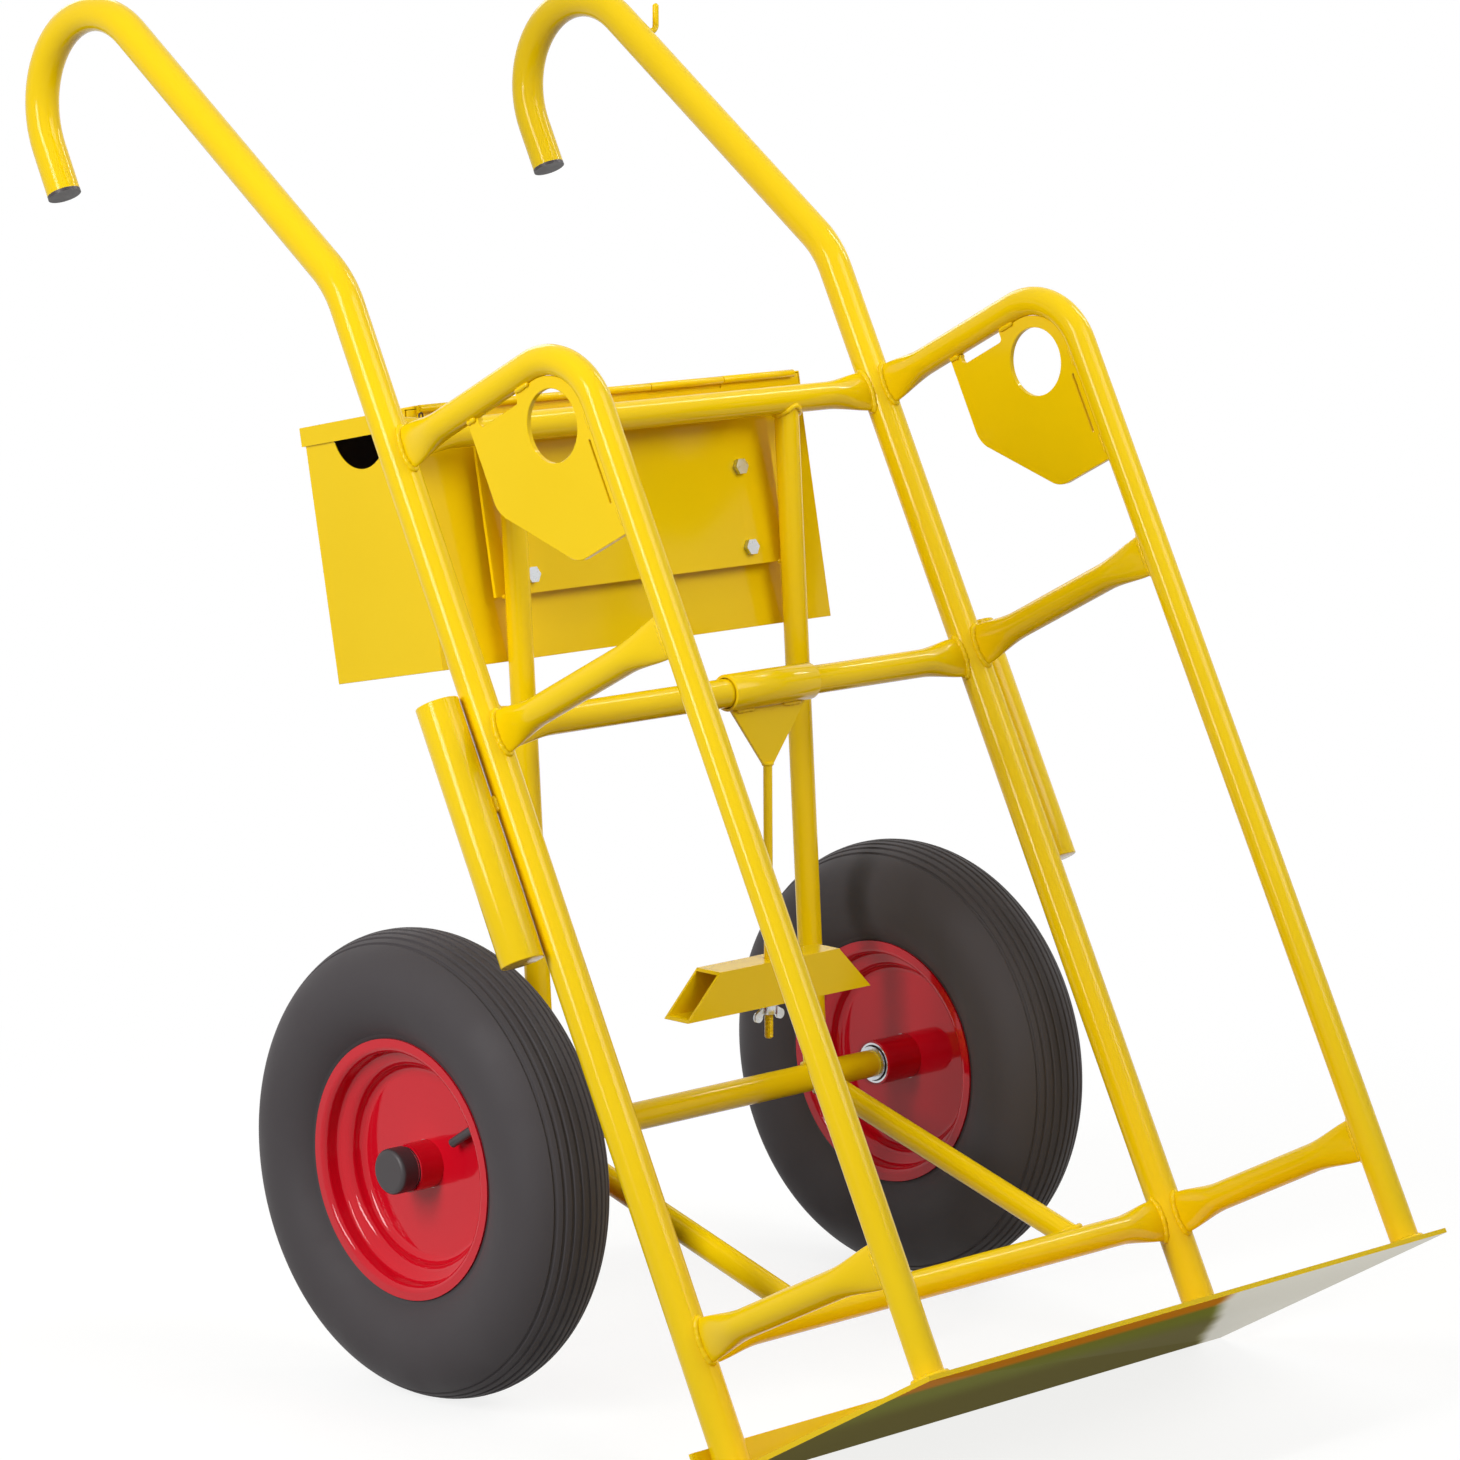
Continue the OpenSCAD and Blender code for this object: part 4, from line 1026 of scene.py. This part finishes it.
@dataclass
class CylinderClamp:
    """Sleeve, hanger, rod, bar and wing nut that hold the bottles."""

    welds: Welds
    x: float = 32.0
    sleeve_r: float = 16.0
    sleeve_bore: float = 13.5
    sleeve_half: float = 50.0
    sleeve_soft: float = 0.8
    hanger_drop: float = 67.0
    rod_r: float = 4.0
    rod_end: float = 309.0
    rod_tip: float = 1.2
    rod_sides: int = 28
    thread_from: float = 236.0
    thread_run_in: float = 5.0
    pitch: float = 1.25
    thread_depth: float = 0.7
    thread_steps: int = 6
    stitch_bead: float = 2.0
    stitch_x: float = 28.0
    stitch_half: float = 11.0
    stitch_y: float = 2.4
    stitch_gap: float = 0.6
    rod_bead: float = 1.8
    rod_bead_half: Pair = (4.2, 3.0)

    def pivot(self) -> Vector:
        """Point of the crossbar's axis over the rod."""
        return RECLINE.place(self.x, 0, self.welds.tubes.middle)

    def sleeve(self) -> None:
        """Builds the round sleeve on the middle crossbar."""
        half, soft, r = self.sleeve_half, self.sleeve_soft, self.sleeve_r
        end = [(self.sleeve_bore, half), (r - soft, half), (r - soft / 3, half - soft / 3), (r, half - soft)]
        skin = turned([*((a, -d) for a, d in end), *reversed(end)], lambda r, t, d: RECLINE.place(
            self.x + d, r * cos(t), self.welds.tubes.middle + r * sin(t)))
        add_piece("clamp_sleeve_tube", skin, ["clamp_sleeve"], body=Body.CLAMP_SLIDER)

    def rod(self) -> None:
        """Builds the rod with its rolled thread."""
        rings, pivot, step = [], self.pivot(), self.pitch / self.thread_steps
        count = round((self.rod_end - self.thread_from) / step)
        for drop in [self.hanger_drop, *(self.thread_from + step * k for k in range(count + 1))]:
            cut = min(1.0, max(0.0, (drop - self.thread_from) / self.thread_run_in))
            tip = max(0.0, drop + self.rod_tip - self.rod_end)
            ring = []
            for t in round_turns(self.rod_sides):
                phase = (drop / self.pitch - t / (2 * pi)) % 1.0
                r = self.rod_r - cut * self.thread_depth * abs(2 * phase - 1) - tip
                ring.append(pivot + Vector((r * cos(t), r * sin(t), -drop)))
            rings.append(ring)
        add_piece("clamp_rod_thread", loft(rings), ["clamp_rod"], body=Body.CLAMP_SWING, crease=70)

    def beads(self) -> None:
        """Lays the beads of the hanger under its sleeve and round its rod."""
        skin, pivot, rippled = Skin(), self.pivot(), self.welds.rippled
        half, low = X_AXIS * self.stitch_half, -self.sleeve_r - self.stitch_gap
        for y in (-self.stitch_y, self.stitch_y):
            for x in (-self.stitch_x, self.stitch_x):
                middle = pivot + Vector((x, y, low))
                skin.join(rippled(seam(middle - half, middle + half), self.stitch_bead, closed=False))
        wide, deep = self.rod_bead_half
        skin.join(rippled(swung(pivot - Z_AXIS * self.hanger_drop, X_AXIS * wide, Y_AXIS * deep,
                                round_turns(36)), self.rod_bead))
        add_piece("clamp_weld_beads", skin, body=Body.CLAMP_SWING, crease=75)

    def build(self) -> None:
        """Builds the round steel, paints the bent steel and plates the nut."""
        self.sleeve()
        self.rod()
        self.beads()
        dress(YELLOW_POWDER_COAT, "clamp_hanger", "clamp_bar", round_edge=0.4)
        dress(BRIGHT_ZINC_PLATE, "clamp_washer")
        dress(BRIGHT_ZINC_PLATE, "wing_nut", round_edge=0.4)


@dataclass
class Wheel:
    """Air-filled wheel: tyre on a pressed rim of two halves, on a hub with two ball bearings."""

    side: Side
    tyre_r: float = 200.0
    section_r: float = 49.0
    rim_r: float = 111.0
    in_rim: float = 4.0
    bead_x: float = 30.0
    bead_r: float = 102.2
    bead_soft: float = 4.0
    groove: float = 1.7
    groove_depth: float = 1.3
    groove_soft: float = 0.9
    groove_turn: float = 9.0
    groove_pairs: int = 4
    shoulder: int = 138
    per_degree: int = 4
    segments: int = 192

    def tyre_outline(self) -> list[Pair]:
        """Draws the tyre's outline with its rounded grooves over the crown.

        Returns:
            Points as radius and distance from the wheel's middle.
        """
        centre, most = self.tyre_r - self.section_r, self.shoulder * self.per_degree
        outer = []
        for t in (k / self.per_degree for k in range(-most, most + 1)):
            nearest = max(-self.groove_pairs, min(self.groove_pairs, round(t / self.groove_turn)))
            off = radians(abs(t - nearest * self.groove_turn)) * self.section_r
            share = max(0.0, min(1.0, (self.groove / 2 + self.groove_soft - off) / self.groove_soft))
            r = self.section_r - self.groove_depth * share
            outer.append((centre + r * cos(radians(t)), r * sin(radians(t))))
        bead, x, soft = self.bead_r, self.bead_x, self.bead_soft
        tail = [(bead + soft, x), (bead, x - soft), (bead, soft - x), (bead + soft, -x)]
        return [p for p in outer if p[0] > self.rim_r - self.in_rim] + tail

    def build(self) -> None:
        """Builds the tyre and gives the CAD pieces their finishes."""
        node = self.side.node
        low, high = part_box(node("tyre"))
        hub = (low + high) / 2 / MM
        skin = turned(self.tyre_outline(), lambda r, t, d: hub + Vector((d, r * cos(t), r * sin(t))),
                      self.segments)
        add_piece(node("tyre_rubber"), skin, [node("tyre")], MOULDED_TYRE_RUBBER, Body(node("wheel")),
                  Slot.TYRE, crease=60)
        for finish, names in ((RED_STOVED_ENAMEL, ("outer_rim_half", "inner_rim_half", "hub")),
                              (BUTYL_TUBE_RUBBER, ("inner_tube",)),
                              (MOULDED_POLYETHYLENE, ("valve", "bearing_seals")),
                              (GROUND_BEARING_STEEL, ("bearing_rings", "bearing_balls"))):
            dress(finish, *(node(name) for name in names))


@dataclass(frozen=True)
class Softbox:
    """A studio lamp with a diffuser, and a grid where its light fans out less."""

    name: str
    size: Pair
    place: Triple
    aim: Triple
    watts: float
    spread: float = 180.0

    def build(self) -> None:
        """Hangs the lamp and turns it to its aim."""
        lamp = bpy.data.lights.new(self.name, "AREA")
        lamp.shape, lamp.energy, lamp.spread = "RECTANGLE", self.watts, radians(self.spread)
        lamp.size, lamp.size_y = self.size
        holder = put(self.name, lamp)
        holder.location, holder.rotation_mode = self.place, "QUATERNION"
        holder.rotation_quaternion = (Vector(self.aim) - Vector(self.place)).to_track_quat("-Z", "Y")


@dataclass
class Studio:
    """Camera, lamps, pale floor and white surroundings."""

    eye: Triple = (-3.07540, -3.231245, 1.26692)
    turn: tuple[float, float, float, float] = (0.70604279, 0.60170505, -0.23997758, -0.28612124)
    lens: float = 129.156
    sensor: float = 36.0
    far: float = 100.0
    sky: float = 0.38
    floor_half: float = 6.0
    floor_tone: str = "#7C7C7A"
    floor_lift: float = 0.83
    floor_clear: Pair = (0.6, 1.5)
    lamps: tuple[Softbox, ...] = (
        Softbox("key_softbox", (0.7, 1.8), (-2.9, -0.2, 1.7), (0, 0.1, 0.9), 66.0),
        Softbox("fill_softbox", (1.8, 1.8), (0.7, -2.4, 2.6), (0, 0.1, 1.1), 9.5, 70.0),
        Softbox("strip_softbox", (0.15, 1.4), (2.1, -0.3, 2.5), (0, 0, 0.5), 15.0),
        Softbox("back_softbox", (1.6, 1.6), (1.2, 3.2, 2.6), (0, 0, 0.6), 24.0))

    def camera(self) -> None:
        """Sets the camera at the photograph's view."""
        data = bpy.data.cameras.new("photo_view")
        data.lens, data.sensor_width, data.sensor_fit = self.lens, self.sensor, "HORIZONTAL"
        data.clip_end = self.far
        camera = put("photo_view", data)
        camera.location, camera.rotation_mode = self.eye, "QUATERNION"
        camera.rotation_quaternion = Quaternion(self.turn)
        bpy.context.scene.camera = camera

    def seen(self, tree: NodeTree) -> NodeSocket:
        """Adds nodes that are 1 for rays that show the background.

        Args:
            tree: Node tree that gets them.

        Returns:
            Output socket.
        """
        path = add_node(tree, "ShaderNodeLightPath")
        seen = path["Is Camera Ray"]
        for ray in ("Is Glossy Ray", "Is Transmission Ray"):
            seen = add_node(tree, "ShaderNodeMath", {0: seen, 1: path[ray]}, operation="MAXIMUM")[0]
        return seen

    def world(self) -> None:
        """Makes the soft surroundings, white where they are seen."""
        world = bpy.data.worlds.new("white_studio")
        world.use_nodes = True
        tree = world.node_tree
        level = add_node(tree, "ShaderNodeMapRange", {"Value": self.seen(tree), "To Min": self.sky,
                         "To Max": 1.0})["Result"]
        feed(tree, tree.nodes["Background"], {"Color": WHITE, "Strength": level})
        bpy.context.scene.world = world

    def floor(self) -> None:
        """Lays the pale floor: it keeps the shadow, and turns to plain white away from the trolley."""
        mesh = bpy.data.meshes.new("studio_floor")
        h = self.floor_half
        mesh.from_pydata([(-h, -h, 0), (h, -h, 0), (h, h, 0), (-h, h, 0)], [], [(0, 1, 2, 3)])
        paper = bpy.data.materials.new("pale_studio_paper")
        paper.use_nodes = True
        tree = paper.node_tree
        tree.nodes.remove(tree.nodes["Principled BSDF"])
        seen = self.seen(tree)
        matt = add_node(tree, "ShaderNodeBsdfDiffuse", {"Color": linear(self.floor_tone)})[0]
        lift = add_node(tree, "ShaderNodeMath", {0: seen, 1: self.floor_lift}, operation="MULTIPLY")[0]
        glow = add_node(tree, "ShaderNodeEmission", {"Color": WHITE, "Strength": lift})[0]
        near = add_node(tree, "ShaderNodeAddShader", {0: matt, 1: glow})[0]
        white = add_node(tree, "ShaderNodeEmission", {"Color": WHITE, "Strength": 1.0})[0]
        place = add_node(tree, "ShaderNodeTexCoord")["Object"]
        reach = add_node(tree, "ShaderNodeVectorMath", {0: place}, operation="LENGTH")["Value"]
        fade = add_node(tree, "ShaderNodeMapRange", {"Value": reach, "From Min": self.floor_clear[0],
                        "From Max": self.floor_clear[1]}, interpolation_type="SMOOTHSTEP")["Result"]
        share = add_node(tree, "ShaderNodeMath", {0: fade, 1: seen}, operation="MULTIPLY")[0]
        both = add_node(tree, "ShaderNodeMixShader", {0: share, 1: near, 2: white})[0]
        feed(tree, tree.nodes["Material Output"], {"Surface": both})
        mesh.materials.append(paper)
        floor = put("studio_floor", mesh)

    def build(self) -> None:
        """Builds the whole studio."""
        bpy.context.scene.view_settings.view_transform = "Standard"
        self.camera()
        self.world()
        self.floor()
        for lamp in self.lamps:
            lamp.build()


def main() -> None:
    """Builds the trolley's sub-assemblies in order, then the studio."""
    logging.basicConfig(level=logging.INFO, format="%(name)s: %(message)s")
    plate = ToePlate()
    tubes = TubeFrame(plate)
    holders = RodHolders(tubes)
    welds = Welds(tubes, holders)
    for part in (tubes, plate, holders, welds, Fittings(welds), ToolBox(), CylinderClamp(welds),
                 Wheel(Side.LEFT), Wheel(Side.RIGHT), Studio()):
        part.build()


if __name__ == "__main__":
    main()
